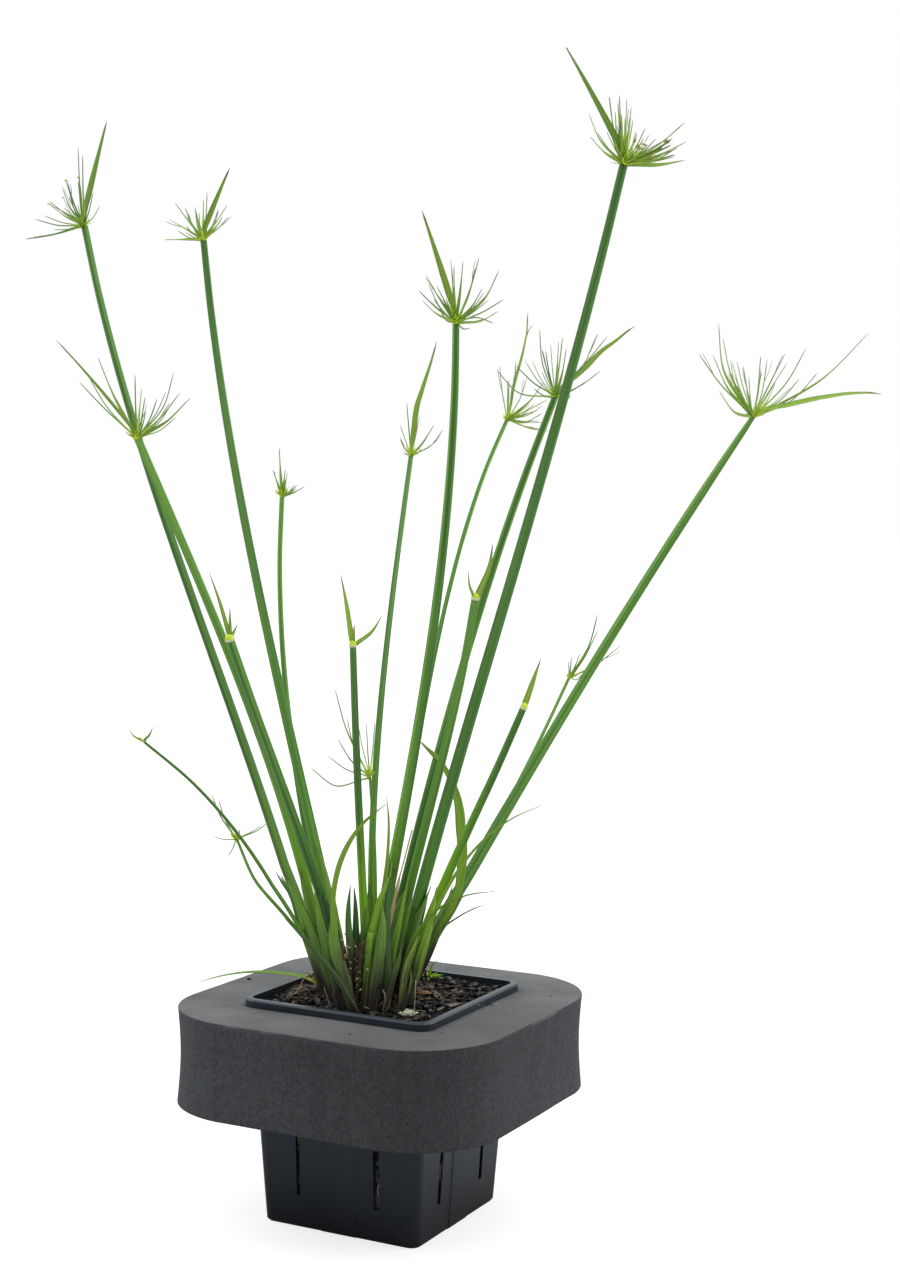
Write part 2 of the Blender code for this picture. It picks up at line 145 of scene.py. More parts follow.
world = bpy.data.worlds.new("studio")
bpy.context.scene.world = world
world.use_nodes = True
sky = world.node_tree
sky.nodes.clear()
direction = add_node(sky, "TexCoord").outputs["Generated"]
dome = rescale(sky, one_axis(sky, direction), 0.3, 2.7, 0.05, 0.95, "SMOOTHSTEP")
beside = reach_along(sky, direction, across)
side_gain = plus(sky, times(sky, times(sky, beside, beside), 0.75), 0.5)
glow = rescale(sky, reach_along(sky, direction, -toward), 0.0, 0.75, 0.45, 0.98, "SMOOTHSTEP")
dome_strength = plus(sky, times(sky, dome, side_gain), glow)
dome_light = add_node(sky, "Background", {"Strength": dome_strength, "Color": (0.96, 0.98, 1)})
white = add_node(sky, "Background", {"Strength": 1.0, "Color": (1, 1, 1)})
seen = add_node(sky, "LightPath").outputs["Is Camera Ray"]
backdrop = add_node(sky, "MixShader", {0: seen, 1: dome_light.outputs[0], 2: white.outputs[0]})
add_node(sky, "OutputWorld", {"Surface": backdrop.outputs[0]})

floor_half = 25.0
floor_mesh = bpy.data.meshes.new("studio_floor")
floor_corners = [(x * floor_half, y * floor_half, -0.1 * mm) for x, y in ((-1, -1), (1, -1), (1, 1), (-1, 1))]
floor_mesh.from_pydata(floor_corners, [], [(0, 1, 2, 3)])
floor = bpy.data.objects.new("studio_floor", floor_mesh)
bpy.context.scene.collection.objects.link(floor)
floor_finish, tree, shader = new_material("pale studio floor")
floor_seen = add_node(tree, "LightPath").outputs["Is Camera Ray"]
feed(tree, shader, {
    "Base Color": mix_colours(tree, floor_seen, (0.5, 0.5, 0.5), (0.36, 0.36, 0.36)),
    "Emission Color": mix_colours(tree, floor_seen, (0, 0, 0), (0.7, 0.7, 0.7)),
    "Emission Strength": 1,
    "Roughness": 1,
    "Specular IOR Level": 0,
})
floor_mesh.materials.append(floor_finish)

softboxes = (("softbox_right", (1.28, 0.78, 0.95), 14), ("softbox_left", (-1.43, -0.42, 0.9), 9))
for name, place, energy in softboxes:
    softbox = bpy.data.objects.new(name, bpy.data.lights.new(name, "AREA"))
    softbox.data.shape = "RECTANGLE"
    softbox.data.size = 1.0
    softbox.data.size_y = 1.3
    softbox.data.energy = energy
    softbox.location = place
    softbox_aim = Vector((0, 0, 0.25)) - softbox.location
    softbox.rotation_euler = softbox_aim.to_track_quat("-Z", "Y").to_euler()
    bpy.context.scene.collection.objects.link(softbox)

# Pond pot. One injection-moulded black polypropylene pot with a folded rim, a raised panel on each
# wall and narrow slits for roots. It came from the mould in one piece.


def ramp_share(tree, value, low, high):
    """0 where the value is under low, 1 where it is over high, and a soft step between."""
    return rescale(tree, value, 0.0, 1.0, low, high, "SMOOTHSTEP")


def noise(tree, place, scale, detail, roughness=0.5):
    """The number socket of a cloudy pattern."""
    sizes = {"Vector": place, "Scale": scale, "Detail": detail, "Roughness": roughness}
    return add_node(tree, "TexNoise", sizes).outputs["Fac"]


def drawn_out(tree, place, share):
    """A place with its last number shrunk, so that a pattern on it draws out into streaks."""
    return add_node(tree, "Mapping", {"Vector": place, "Scale": (1, 1, share)}).outputs["Vector"]


def bump(tree, height, depth_mm, strength):
    """The normal socket of a relief that is depth_mm deep."""
    sizes = {"Height": height, "Distance": depth_mm * mm, "Strength": strength}
    return add_node(tree, "Bump", sizes).outputs["Normal"]


plastic, tree, shader = new_material("black pot plastic")
place = add_node(tree, "TexCoord").outputs["Object"]
pot_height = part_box("pot")[1].z
rise = maths(tree, "DIVIDE", one_axis(tree, place), pot_height)
flow = noise(tree, drawn_out(tree, place, 0.12), 60.0, 5.0, 0.6)
peel = noise(tree, place, 900.0, 3.0)
film = ramp_share(tree, noise(tree, place, 26.0, 6.0, 0.62), 0.42, 0.72)
level_share = one_axis(tree, add_node(tree, "NewGeometry").outputs["Normal"])
wall_black = mix_colours(tree, flow, (0.009, 0.012, 0.016), (0.015, 0.019, 0.025))
# Painted highlight: faces that look up, such as the top of the rim, are lighter than the walls, as more light
# falls on them.
painted_lit_top_black = mix_colours(tree, flow, (0.022, 0.027, 0.034), (0.03, 0.036, 0.044))
wall_and_painted_lit_top = mix_colours(tree, ramp_share(tree, level_share, 0.75, 0.95), wall_black, painted_lit_top_black)
# Painted shade: the pot darkens toward its foot, where the float shades it.
painted_low_shade = mix_colours(tree, ramp_share(tree, rise, 0.0, 0.42), (0.003, 0.0035, 0.005), wall_and_painted_lit_top)
feed(tree, shader, {
    "Base Color": mix_colours(tree, times(tree, film, 0.05), painted_low_shade, (0.1, 0.1, 0.1)),
    "Specular IOR Level": rescale(tree, rise, 0.26, 0.46, 0.0, 0.8),
    "Specular Tint": (0.8, 0.9, 1),
    "Roughness": plus(tree, rescale(tree, flow, 0.34, 0.44, 0.3, 0.7), times(tree, film, 0.12)),
    "Normal": bump(tree, plus(tree, times(tree, flow, 0.3), times(tree, peel, 0.2)), 0.1, 0.4),
})

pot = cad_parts["pot"]
pot.data.materials.clear()
pot.data.materials.append(plastic)
for face in pot.data.polygons:
    face.use_smooth = True
pot_edges = pot.modifiers.new("moulded edges", "BEVEL")
pot_edges.width = 0.35 * mm
pot_edges.segments = 3
pot_edges.limit_method = "ANGLE"
pot_edges.angle_limit = radians(32)
pot_edges.harden_normals = True

# Float. One block of dark grey closed-cell polyethylene foam, die-cut to a rounded square with a
# square hole. It was pushed up the pot from below until it stopped under the rim.


def node_points(node):
    """The corners of a CAD node, each once."""
    return np.unique(np.round([corner.co[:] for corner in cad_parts[node].data.vertices], 5), axis=0)


def lumps(points, size, seed=0):
    """Smooth random heights from -1 to 1 through space, with lumps of one size."""
    place = np.asarray(points) / size + seed * 31.7
    cell = np.floor(place).astype(np.int64)
    part = place - cell
    part = part * part * (3 - 2 * part)
    total = np.zeros(len(place))
    for corner in np.ndindex(2, 2, 2):
        at = cell + corner
        code = at[:, 0] * 73856093 ^ at[:, 1] * 19349663 ^ at[:, 2] * 83492791
        code = ((code ^ (code >> 13)) * 1274126177) & 0x7FFFFFFF
        code = ((code ^ (code >> 15)) * 668265263) & 0x7FFFFFFF
        total += (code / 0x3FFFFFFF - 1) * np.prod(np.where(corner, part, 1 - part), axis=1)
    return total


def rounded_square(half, corner, count):
    """Points evenly spaced round a square with round corners, as angles and places from its middle."""
    quarter = count // 4
    straight = half - corner
    reach = np.linspace(0, 1, quarter, endpoint=False) * (2 * straight + corner * pi / 2)
    turn = np.clip((reach - straight) / corner, 0, pi / 2)
    x = np.where(reach < straight, half, straight + corner * np.cos(turn))
    y = np.where(reach < straight, reach, straight + corner * np.sin(turn))
    after = reach > straight + corner * pi / 2
    x = np.where(after, 2 * straight + corner * pi / 2 - reach, x)
    y = np.where(after, half, y)
    one = np.column_stack((x, y))
    sides = [one]
    for _ in range(3):
        one = np.column_stack((-one[:, 1], one[:, 0]))
        sides.append(one)
    return np.vstack(sides)


def level_loop(half, corner, count, z):
    """A rounded square of points at one height."""
    return np.column_stack((rounded_square(half, corner, count), np.full(count, z)))


def loft_faces(rows, count, ring=False):
    """Faces that join rows of points into a tube, with flat ends or closed on its first row."""
    faces = [] if ring else [tuple(range(count))[::-1], tuple(range((rows - 1) * count, rows * count))]
    for row in range(rows if ring else rows - 1):
        low, high = row * count, (row + 1) % rows * count
        for i in range(count):
            j = (i + 1) % count
            faces.append((low + i, low + j, high + j, high + i))
    return faces


def new_piece(name, points, faces, finishes, sharp=None):
    """One smooth-shaded mesh piece. Edges bent by more than sharp degrees stay crisp."""
    mesh = bpy.data.meshes.new(name)
    mesh.from_pydata(np.asarray(points).tolist(), [], faces)
    mesh.polygons.foreach_set("use_smooth", np.ones(len(mesh.polygons), bool))
    if sharp:
        mesh.set_sharp_from_angle(angle=radians(sharp))
    for finish in finishes:
        mesh.materials.append(finish)
    made = bpy.data.objects.new(name, mesh)
    bpy.context.scene.collection.objects.link(made)
    return made


def swing(tree, share, size):
    """A pattern from 0 to 1 turned into one that swings evenly to both sides of 0."""
    return times(tree, maths(tree, "SUBTRACT", share, 0.5), size)


float_low, float_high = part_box("foam_float")
float_half = float_high.x
float_corner = 47 * mm
float_waist = 1.0 * mm
float_edge = 0.6 * mm
inner_points = node_points("foam_float")
inner_points = inner_points[np.abs(inner_points[:, :2]).max(1) < 0.7 * float_half]
hole_low = np.abs(inner_points[inner_points[:, 2] < float_low.z + mm, :2]).max()
hole_high = np.abs(inner_points[inner_points[:, 2] > float_high.z - mm, :2]).max()
hole_corner = 5 * mm
float_round = 720

outline = []
edge_turns = np.linspace(0, pi / 2, 6)
for turn in edge_turns:
    outline.append((float_half - float_edge * (1 - sin(turn)), float_low.z + float_edge * (1 - cos(turn))))
straight_height = float_high.z - float_low.z - 2 * float_edge
for share in np.linspace(0, 1, 22)[1:-1]:
    z = float_low.z + float_edge + share * straight_height
    outline.append((float_half - float_waist * sin(pi * share), z))
for turn in edge_turns:
    outline.append((float_half - float_edge * (1 - cos(turn)), float_high.z - float_edge * (1 - sin(turn))))
loops = [level_loop(half, float_corner, float_round, z) for half, z in outline]
top_loop, bottom_loop = loops[-1], loops[0]
hole_outline = (
    (hole_high + 1.0 * mm, float_high.z), (hole_high, float_high.z - 1.0 * mm),
    (hole_low, float_low.z + 1.0 * mm), (hole_low + 1.0 * mm, float_low.z),
)
hole_loops = [level_loop(half, hole_corner, float_round, z) for half, z in hole_outline]
for share in (0.12, 0.28, 0.44, 0.6, 0.76, 0.9):
    loops.append(top_loop * (1 - share) + hole_loops[0] * share)
loops += hole_loops
for share in (0.15, 0.4, 0.65, 0.9):
    loops.append(hole_loops[-1] * (1 - share) + bottom_loop * share)
float_points = np.vstack(loops)
float_out = np.column_stack((float_points[:, :2], np.zeros(len(float_points))))
float_out /= np.linalg.norm(float_out, axis=1, keepdims=True)
outer = np.abs(float_points[:, :2]).max(1) > hole_high + 3 * mm
flat_places = float_points * (1, 1, 0)
knife = 0.025 * mm * lumps(flat_places, 2.1 * mm, 1) + 0.1 * mm * lumps(flat_places, 14 * mm, 2)
wobble = 0.3 * mm * lumps(float_points, 34 * mm, 3)
float_points = float_points + float_out * ((knife + wobble) * outer)[:, None]
level = (np.abs(float_points[:, 2] - float_high.z) < 0.5 * mm) & outer
bulge = np.exp(-(float_points[:, 0] / (38 * mm)) ** 2) * np.clip(-float_points[:, 1] / float_half, 0, 1)
bulge *= np.clip(1 - (np.abs(float_points[:, :2]).max(1) - hole_high) / (30 * mm), 0, 1)
sag = 0.22 * lumps(flat_places, 40 * mm, 4) + 0.06 * lumps(flat_places, 5 * mm, 5) - 0.12 + 0.9 * bulge
float_points[:, 2] += np.where(level, sag * mm, 0)

foam, tree, shader = new_material("grey foam")
place = add_node(tree, "TexCoord").outputs["Object"]
facing_up = one_axis(tree, add_node(tree, "NewGeometry").outputs["Normal"])
cells = add_node(tree, "TexVoronoi", {"Vector": place, "Scale": 1700.0, "Randomness": 1.0})
cloud = noise(tree, place, 28.0, 7.0, 0.6)
grit = noise(tree, place, 520.0, 4.0, 0.7)
strokes = noise(tree, drawn_out(tree, place, 0.06), 300.0, 4.0, 0.65)
pit_cells = add_node(tree, "TexVoronoi", {"Vector": place, "Scale": 110.0})
pit_pick = add_node(tree, "SeparateColor", {"Color": pit_cells.outputs["Color"]}).outputs["Red"]
pit_near = maths(tree, "LESS_THAN", pit_cells.outputs["Distance"], 0.075)
pits = times(tree, pit_near, maths(tree, "GREATER_THAN", pit_pick, 0.72))
side_mix = ramp_share(tree, plus(tree, times(tree, grit, 0.8), times(tree, strokes, 0.2)), 0.3, 0.7)
cut_face = mix_colours(tree, side_mix, (0.03, 0.032, 0.035), (0.062, 0.066, 0.071))
top_mix = ramp_share(tree, cloud, 0.3, 0.7)
skin_face = mix_colours(tree, top_mix, (0.09, 0.092, 0.095), (0.136, 0.138, 0.142))
foam_colour = mix_colours(tree, ramp_share(tree, facing_up, 0.35, 0.9), cut_face, skin_face)
smudged = times(tree, ramp_share(tree, noise(tree, place, 75.0, 5.0, 0.75), 0.5, 0.74), 0.22)
foam_colour = mix_colours(tree, smudged, foam_colour, (0.06, 0.052, 0.046))
# Painted shade: the foam darkens toward the corner that faces the camera, where less light falls, with a
# cloudy edge.
to_front = maths(tree, "SUBTRACT", one_axis(tree, place, "X"), one_axis(tree, place, "Y"))
front_shade_reach = plus(tree, to_front, swing(tree, cloud, 0.12))
painted_front_shade = times(tree, ramp_share(tree, front_shade_reach, 0.03, 0.13), 0.34)
foam_colour = mix_colours(tree, painted_front_shade, foam_colour, (0.012, 0.012, 0.013))
gritty = times(tree, ramp_share(tree, grit, 0.52, 0.7), 0.25)
foam_colour = mix_colours(tree, gritty, foam_colour, (0.05, 0.05, 0.053))
pores = times(tree, cells.outputs["Distance"], 0.5)
feed(tree, shader, {
    "Base Color": mix_colours(tree, times(tree, pits, 0.75), foam_colour, (0.012, 0.012, 0.013)),
    "Roughness": 0.93,
    "Specular IOR Level": 0.25,
    "Normal": bump(tree, plus(tree, maths(tree, "SUBTRACT", pores, pits), grit), 0.3, 0.7),
})

foam_ring = new_piece("float", float_points, loft_faces(len(loops), float_round, ring=True), [foam])
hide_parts("foam_float")
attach(foam_ring, "root")

# Growing mix. Moist composted bark, coir fibre and grit, pressed into the pot by hand, topped with
# loose chips of black wet pine bark. The chips only rest on one another.
mix_low, mix_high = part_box("bark_mulch")
mix_half = mix_high.x
mix_corner = 5 * mm
crown_low, crown_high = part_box("crown")
crown_middle = np.array(((crown_low + crown_high) / 2)[:2])
crown_radius = (crown_high.x - crown_low.x) / 2


def soil_height(x, y):
    """How high the growing mix lies at a place: level by the walls, mounded over the crown."""
    edge = np.maximum(np.abs(x), np.abs(y)) / mix_half
    from_crown = np.hypot(x - crown_middle[0], y - crown_middle[1]) / crown_radius
    mound = np.clip(1 - from_crown, 0, 1) ** 0.6
    return mix_high.z + 0.3 * mm - 0.9 * mm * edge**3 + 3.2 * mm * mound


def mark_points(made, marks):
    """Stores numbers or vectors on the points of a piece, for its finish to read."""
    for name, values in marks.items():
        values = np.asarray(values, float)
        kind, field = ("FLOAT_VECTOR", "vector") if values.ndim == 2 else ("FLOAT", "value")
        made.data.attributes.new(name, kind, "POINT").data.foreach_set(field, values.ravel())


def read_mark(tree, name, output="Fac"):
    """The socket of a mark stored on the points."""
    return add_node(tree, "Attribute", attribute_name=name).outputs[output]


bark, tree, shader = new_material("wet bark")
place = add_node(tree, "TexCoord").outputs["Object"]
tint = read_mark(tree, "tint")
grain = noise(tree, read_mark(tree, "skin", "Vector"), 3.0, 6.0, 0.7)
crumb = noise(tree, place, 900.0, 5.0, 0.7)
grained = ramp_share(tree, grain, 0.35, 0.7)
black = mix_colours(tree, grained, (0.002, 0.0018, 0.0017), (0.018, 0.016, 0.0145))
brown = mix_colours(tree, grained, (0.01, 0.006, 0.004), (0.07, 0.04, 0.024))
ashen = mix_colours(tree, grained, (0.016, 0.015, 0.0145), (0.12, 0.108, 0.102))
bark_colour = mix_colours(tree, ramp_share(tree, tint, 0.8, 0.9), black, brown)
wet = ramp_share(tree, noise(tree, place, 260.0, 3.0), 0.5, 0.6)
feed(tree, shader, {
    "Base Color": mix_colours(tree, ramp_share(tree, tint, 0.92, 0.95), bark_colour, ashen),
    "Roughness": rescale(tree, wet, 0.85, 0.27),
    "Specular IOR Level": rescale(tree, wet, 0.14, 0.7),
    "Normal": bump(tree, plus(tree, grain, times(tree, crumb, 0.6)), 0.6, 0.9),
})

mix_round = 240
mix_loops = []
for z in np.linspace(mix_low.z, mix_high.z - 3 * mm, 34):
    wall_share = (z - mix_low.z) / (mix_high.z - mix_low.z)
    mix_loops.append(level_loop(mix_half - 6.3 * mm * (1 - wall_share), mix_corner, mix_round, z))
for share in (1.0, 0.97, 0.92, 0.85, 0.77, 0.68, 0.59, 0.5, 0.41, 0.32, 0.23, 0.15, 0.08, 0.03):
    flat = rounded_square(mix_half, mix_corner, mix_round) * share
    mix_loops.append(np.column_stack((flat, soil_height(flat[:, 0], flat[:, 1]))))
mix_points = np.vstack(mix_loops)
mix_top = mix_points[:, 2] > mix_high.z - 4 * mm
mix_bumps = (lumps(mix_points, 3 * mm, 6) * 0.9 + lumps(mix_points, 8 * mm, 7) - 0.8) * mm
mix_points[:, 2] += np.where(mix_top, mix_bumps, 0)
mix_in = np.where(mix_top, 0, (lumps(mix_points, 2.5 * mm, 8) - 1.2) * 0.35 * mm)
mix_points[:, :2] *= 1 + (mix_in / mix_half)[:, None]
growing_mix = new_piece("growing_mix", mix_points, loft_faces(len(mix_loops), mix_round), [bark])
mark_points(growing_mix, {"tint": np.full(len(mix_points), 0.3), "skin": mix_points * 60})
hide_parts("bark_mulch")
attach(growing_mix, "root")


def scattered_turns(dice, count, tilt):
    """Random turn matrices: any way round, and tipped by up to tilt radians."""
    spin = dice.uniform(0, 2 * pi, count)
    tip_way = dice.uniform(0, 2 * pi, count)
    tip = dice.normal(0, tilt, count)
    axis = np.column_stack((np.cos(tip_way), np.sin(tip_way), np.zeros(count)))
    turns = np.empty((count, 3, 3))
    for i in range(count):
        tipped = Matrix.Rotation(tip[i], 3, Vector(axis[i]))
        turns[i] = np.array(tipped @ Matrix.Rotation(spin[i], 3, "Z"))
    return turns


def bark_chips(dice, places, lengths, tilt, rows, count, slab):
    """Ragged slivers of bark: rings of points along each, pinched, split and roughened."""
    chips = len(places)
    along = np.linspace(-1, 1, rows)
    angle = np.linspace(0, 2 * pi, count, endpoint=False)
    width = lengths * dice.uniform(0.34, 0.72, chips)
    thick = lengths * dice.uniform(*slab, chips)
    taper = (1 - np.abs(along) ** 3.2) ** 0.6 * 0.9 + 0.1
    rough_ring = dice.uniform(0.7, 1.15, (chips, 1, count))
    rough_all = dice.uniform(0.86, 1.12, (chips, rows, count))
    shift = np.cumsum(dice.normal(0, 0.1, (chips, rows, 2)), axis=1)
    square = 1 / np.maximum(np.abs(np.cos(angle)), np.abs(np.sin(angle))) ** 0.8
    radius = taper[None, :, None] * rough_ring * rough_all * square
    local = np.empty((chips, rows, count, 3))
    ragged = dice.normal(0, 0.05, (chips, rows, count))
    ragged[:, (0, -1)] = dice.normal(0, 0.13, (chips, 2, count))
    local[..., 0] = (along[None, :, None] + ragged) * lengths[:, None, None] / 2
    local[..., 1] = (radius * np.cos(angle) + shift[..., 0][..., None]) * width[:, None, None] / 2
    local[..., 2] = (radius * np.sin(angle) + shift[..., 1][..., None]) * thick[:, None, None] / 2
    turns = scattered_turns(dice, chips, tilt)
    world_points = np.einsum("cij,crnj->crni", turns, local) + places[:, None, None, :]
    grain_skin = local / mm * (0.12, 1.1, 1.1) + dice.uniform(0, 90, (chips, 1, 1, 3))
    one = loft_faces(rows, count)
    faces = [tuple(i + chip * rows * count for i in face) for chip in range(chips) for face in one]
    return world_points.reshape(-1, 3), faces, grain_skin.reshape(-1, 3)


def mulch_places(dice, count, sink, spread):
    """Places on top of the mix, fewer over the crown, and lifted a little as they pile up."""
    found = []
    while len(found) < count:
        x, y = dice.uniform(-1, 1, 2) * mix_half * spread
        over_crown = np.hypot(x - crown_middle[0], y - crown_middle[1]) < 0.62 * crown_radius
        if over_crown and dice.random() < 0.55:
            continue
        found.append((x, y, soil_height(x, y) + dice.uniform(-0.6, 1) * sink))
    return np.array(found)


# Each row: name, how many, their shortest and longest and how deep they sink in mm, and how thick they
# are as a share of their length.
chip_kinds = (
    ("bark_chips", 80, (8, 15), 2.4, (0.12, 0.3)),
    ("small_bark_chips", 520, (3, 8.5), 2.8, (0.2, 0.5)),
)
chip_rows, chip_sides = 9, 10
dice = np.random.default_rng(7)
for name, count, sizes, sink, slab in chip_kinds:
    places = mulch_places(dice, count, sink * mm, 0.87)
    lengths = dice.uniform(*sizes, count) * mm
    chip_points, chip_faces, chip_skin = bark_chips(dice, places, lengths, 0.38, chip_rows, chip_sides, slab)
    chips = new_piece(name, chip_points, chip_faces, [bark], sharp=38)
    mark_points(chips, {"tint": np.repeat(dice.random(count), chip_rows * chip_sides), "skin": chip_skin})
    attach(chips, "root")

crumb_count, crumb_rows, crumb_sides = 2200, 5, 6
lengths = dice.uniform(1.0, 3.6, crumb_count) * mm
places = mulch_places(dice, crumb_count, 2.6 * mm, 0.97)
crumb_points, crumb_faces, crumb_skin = bark_chips(
    dice, places, lengths, 0.5, crumb_rows, crumb_sides, (0.3, 0.6)
)
crumbs = new_piece("bark_crumbs", crumb_points, crumb_faces, [bark], sharp=38)
crumb_tint = np.repeat(dice.random(crumb_count), crumb_rows * crumb_sides)
mark_points(crumbs, {"tint": crumb_tint, "skin": crumb_skin})
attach(crumbs, "root")


def smooth_line(points, count):
    """A curve through the points, as count points spaced evenly along it."""
    points = np.asarray(points, float)
    ends = np.vstack((2 * points[0] - points[1], points, 2 * points[-1] - points[-2]))
    share = np.linspace(0, 1, 16, endpoint=False)[:, None]
    fine = []
    for a, b, c, d in zip(ends, ends[1:], ends[2:], ends[3:]):
        cubic = 2 * b + (c - a) * share + (2 * a - 5 * b + 4 * c - d) * share**2
        fine.append((cubic + (3 * b - a - 3 * c + d) * share**3) / 2)
    fine = np.vstack((*fine, points[-1:]))
    run = np.concatenate(([0], np.cumsum(np.linalg.norm(np.diff(fine, axis=0), axis=1))))
    even = np.linspace(0, run[-1], count)
    return np.column_stack([np.interp(even, run, fine[:, axis]) for axis in range(3)])


def unit(vector):
    """The same direction with a length of 1."""
    return vector / np.linalg.norm(vector)


def profile(count, places, sizes):
    """The sizes of count even steps along a strand or leaf, from a few places from 0 to 1."""
    return np.interp(np.linspace(0, 1, count), places, sizes)


def frames_along(line, facing):
    """Unit vectors across a line and out of it. Out starts near facing and never twists."""
    ahead = np.gradient(line, axis=0)
    ahead /= np.linalg.norm(ahead, axis=1, keepdims=True)
    out = np.empty_like(line)
    last = np.asarray(facing, float)
    for i, run in enumerate(ahead):
        last = last - run * last.dot(run)
        last = unit(last)
        out[i] = last
    return np.cross(out, ahead), out


class Sheaf:
    """Closed strands and leaves gathered into one piece, with the marks that their finish reads."""

    def __init__(self):
        self.points, self.faces, self.skin, self.along, self.tint, self.finish = [], [], [], [], [], []
        self.count = 0

    def add_rows(self, rows, skin_ring, tint, finish=0):
        """Joins rows of points into one closed shape. skin_ring says where round the shape each point is."""
        length, count = rows.shape[:2]
        run = np.linalg.norm(np.diff(rows.mean(1), axis=0), axis=1).sum()
        share = np.linspace(0, 1, length)
        skin = np.empty((length, count, 3))
        skin[..., :2] = skin_ring
        skin[..., 2] = share[:, None] * run / mm * 0.05
        faces = loft_faces(length, count)
        self.faces += [tuple(i + self.count for i in face) for face in faces]
        self.finish += [finish] * len(faces)
        self.points.append(rows.reshape(-1, 3))
        self.skin.append(skin.reshape(-1, 3))
        self.along.append(np.repeat(share, count))
        self.tint.append(np.full(length * count, tint))
        self.count += length * count

    def strand(self, line, radii, sides, tint, facing=upward, finish=0, ribs=0.0):
        """A tapering round or ribbed strand."""
        side, out = frames_along(line, facing)
        angle = np.linspace(0, 2 * pi, sides, endpoint=False)
        ring = np.column_stack((np.cos(angle), np.sin(angle)))
        shape = 1 + ribs * np.cos(3 * angle)
        rows = line[:, None] + (np.asarray(radii)[:, None] * shape)[..., None] * (
            side[:, None] * ring[:, :1] + out[:, None] * ring[:, 1:]
        )
        self.add_rows(rows, ring, tint, finish)

    def blade(self, line, halves, facing, fold, thickness, tint, twist=0.0, cross=7, finish=0):
        """A grass-like leaf folded along its midrib, thinning to nothing at both edges."""
        side, out = frames_along(line, facing)
        turn = np.linspace(0, twist, len(line))[:, None]
        side, out = side * np.cos(turn) + out * np.sin(turn), out * np.cos(turn) - side * np.sin(turn)
        over = np.linspace(1, -1, cross)
        reach = np.concatenate((over, over[::-1][1:-1]))
        face = np.concatenate((np.ones(cross), -np.ones(cross - 2)))
        valley = np.sqrt(reach**2 + 0.02) * fold
        halves = np.asarray(halves)[:, None, None]
        skin_thick = (face * (1 - reach**2) * thickness / 2)[None, :, None]
        rows = line[:, None] + side[:, None] * reach[:, None] * halves
        rows = rows + out[:, None] * (valley[:, None] * halves + skin_thick)
        self.add_rows(rows, np.column_stack((reach, face * 0.15)), tint, finish)

    def sheath(self, line, radii, wraps, facing, thickness, tint, cross=15, finish=0):
        """A leaf base rolled round a stem, opening upward to a point."""
        side, out = frames_along(line, facing)
        over = np.linspace(1, -1, cross)
        angle = np.asarray(wraps)[:, None] * np.concatenate((over, over[::-1]))
        grow = np.concatenate((np.full(cross, thickness), np.zeros(cross)))
        overlap = 0.35 * mm * np.concatenate((over, over[::-1])) * (np.asarray(wraps)[:, None] / pi) ** 4
        radius = np.asarray(radii)[:, None] + grow + overlap
        rows = line[:, None] + radius[..., None] * (
            out[:, None] * np.cos(angle)[..., None] + side[:, None] * np.sin(angle)[..., None]
        )
        ring = np.column_stack((np.concatenate((over, over[::-1])), (grow > 0) * 0.3 - 0.15))
        self.add_rows(rows, ring, tint, finish)

    def piece(self, name, finishes):
        """Makes the mesh and marks it."""
        made = new_piece(name, np.vstack(self.points), self.faces, finishes)
        made.data.polygons.foreach_set("material_index", self.finish)
        marks = {"skin": np.vstack(self.skin), "along": np.concatenate(self.along),
                 "tint": np.concatenate(self.tint)}
        mark_points(made, marks)
        return made


fibre, tree, shader = new_material("dry fibre")
streak = noise(tree, read_mark(tree, "skin", "Vector"), 2.5, 4.0)
fibre_dark = mix_colours(tree, streak, (0.05, 0.026, 0.012), (0.16, 0.085, 0.04))
fibre_pale = mix_colours(tree, streak, (0.22, 0.15, 0.075), (0.48, 0.36, 0.2))
pale_share = ramp_share(tree, read_mark(tree, "tint"), 0.55, 0.95)
feed(tree, shader, {
    "Base Color": mix_colours(tree, pale_share, fibre_dark, fibre_pale),
    "Roughness": 0.7,
    "Normal": bump(tree, streak, 0.1, 0.6),
})

mulch_fibres = Sheaf()
for place in mulch_places(dice, 90, 1.5 * mm, 0.9):
    heading = dice.uniform(0, 2 * pi)
    length = dice.uniform(5, 17) * mm
    sway = dice.normal(0, 0.35, 3)
    way = np.array((cos(heading), sin(heading), 0))
    aside = np.array((-way[1], way[0], 0))
    route = [place + way * length * (share - 0.5) + aside * length * sway[0] * share**2
             + upward * (1.4 * mm + length * 0.25 * abs(sway[1]) * share) for share in (0, 0.35, 0.7, 1)]
    radius = dice.uniform(0.12, 0.32) * mm
    mulch_fibres.strand(smooth_line(route, 9), np.linspace(radius, radius * 0.5, 9), 4, dice.random() ** 2)
loose_fibres = mulch_fibres.piece("mulch_fibres", [fibre])
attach(loose_fibres, "root")

# Stems. Each is one solid three-sided culm that grew from the crown, smooth-skinned with fine ribs,
# bluish green above and pale or brownish where the sheaths wrapped it.


def centreline(node, start):
    """The middle and the reach of each row of points along a slender CAD solid, in order from the start."""
    points = node_points(node)
    far = np.linalg.norm(points - start, axis=1)
    order = np.argsort(far)
    rows = np.split(points[order], np.flatnonzero(np.diff(far[order]) > 1.6 * mm) + 1)
    middles = np.array([row.mean(0) for row in rows])
    reaches = np.array([np.linalg.norm(row - row.mean(0), axis=1).max() for row in rows])
    return middles, reaches


def foot_of(node):
    """The middle of the lowest end of a stem."""
    points = node_points(node)
    return points[points[:, 2] < points[:, 2].min() + 8 * mm].mean(0)


def evened(values, count):
    """Values along a line, read again at count even steps."""
    return profile(count, np.linspace(0, 1, len(values)), values)


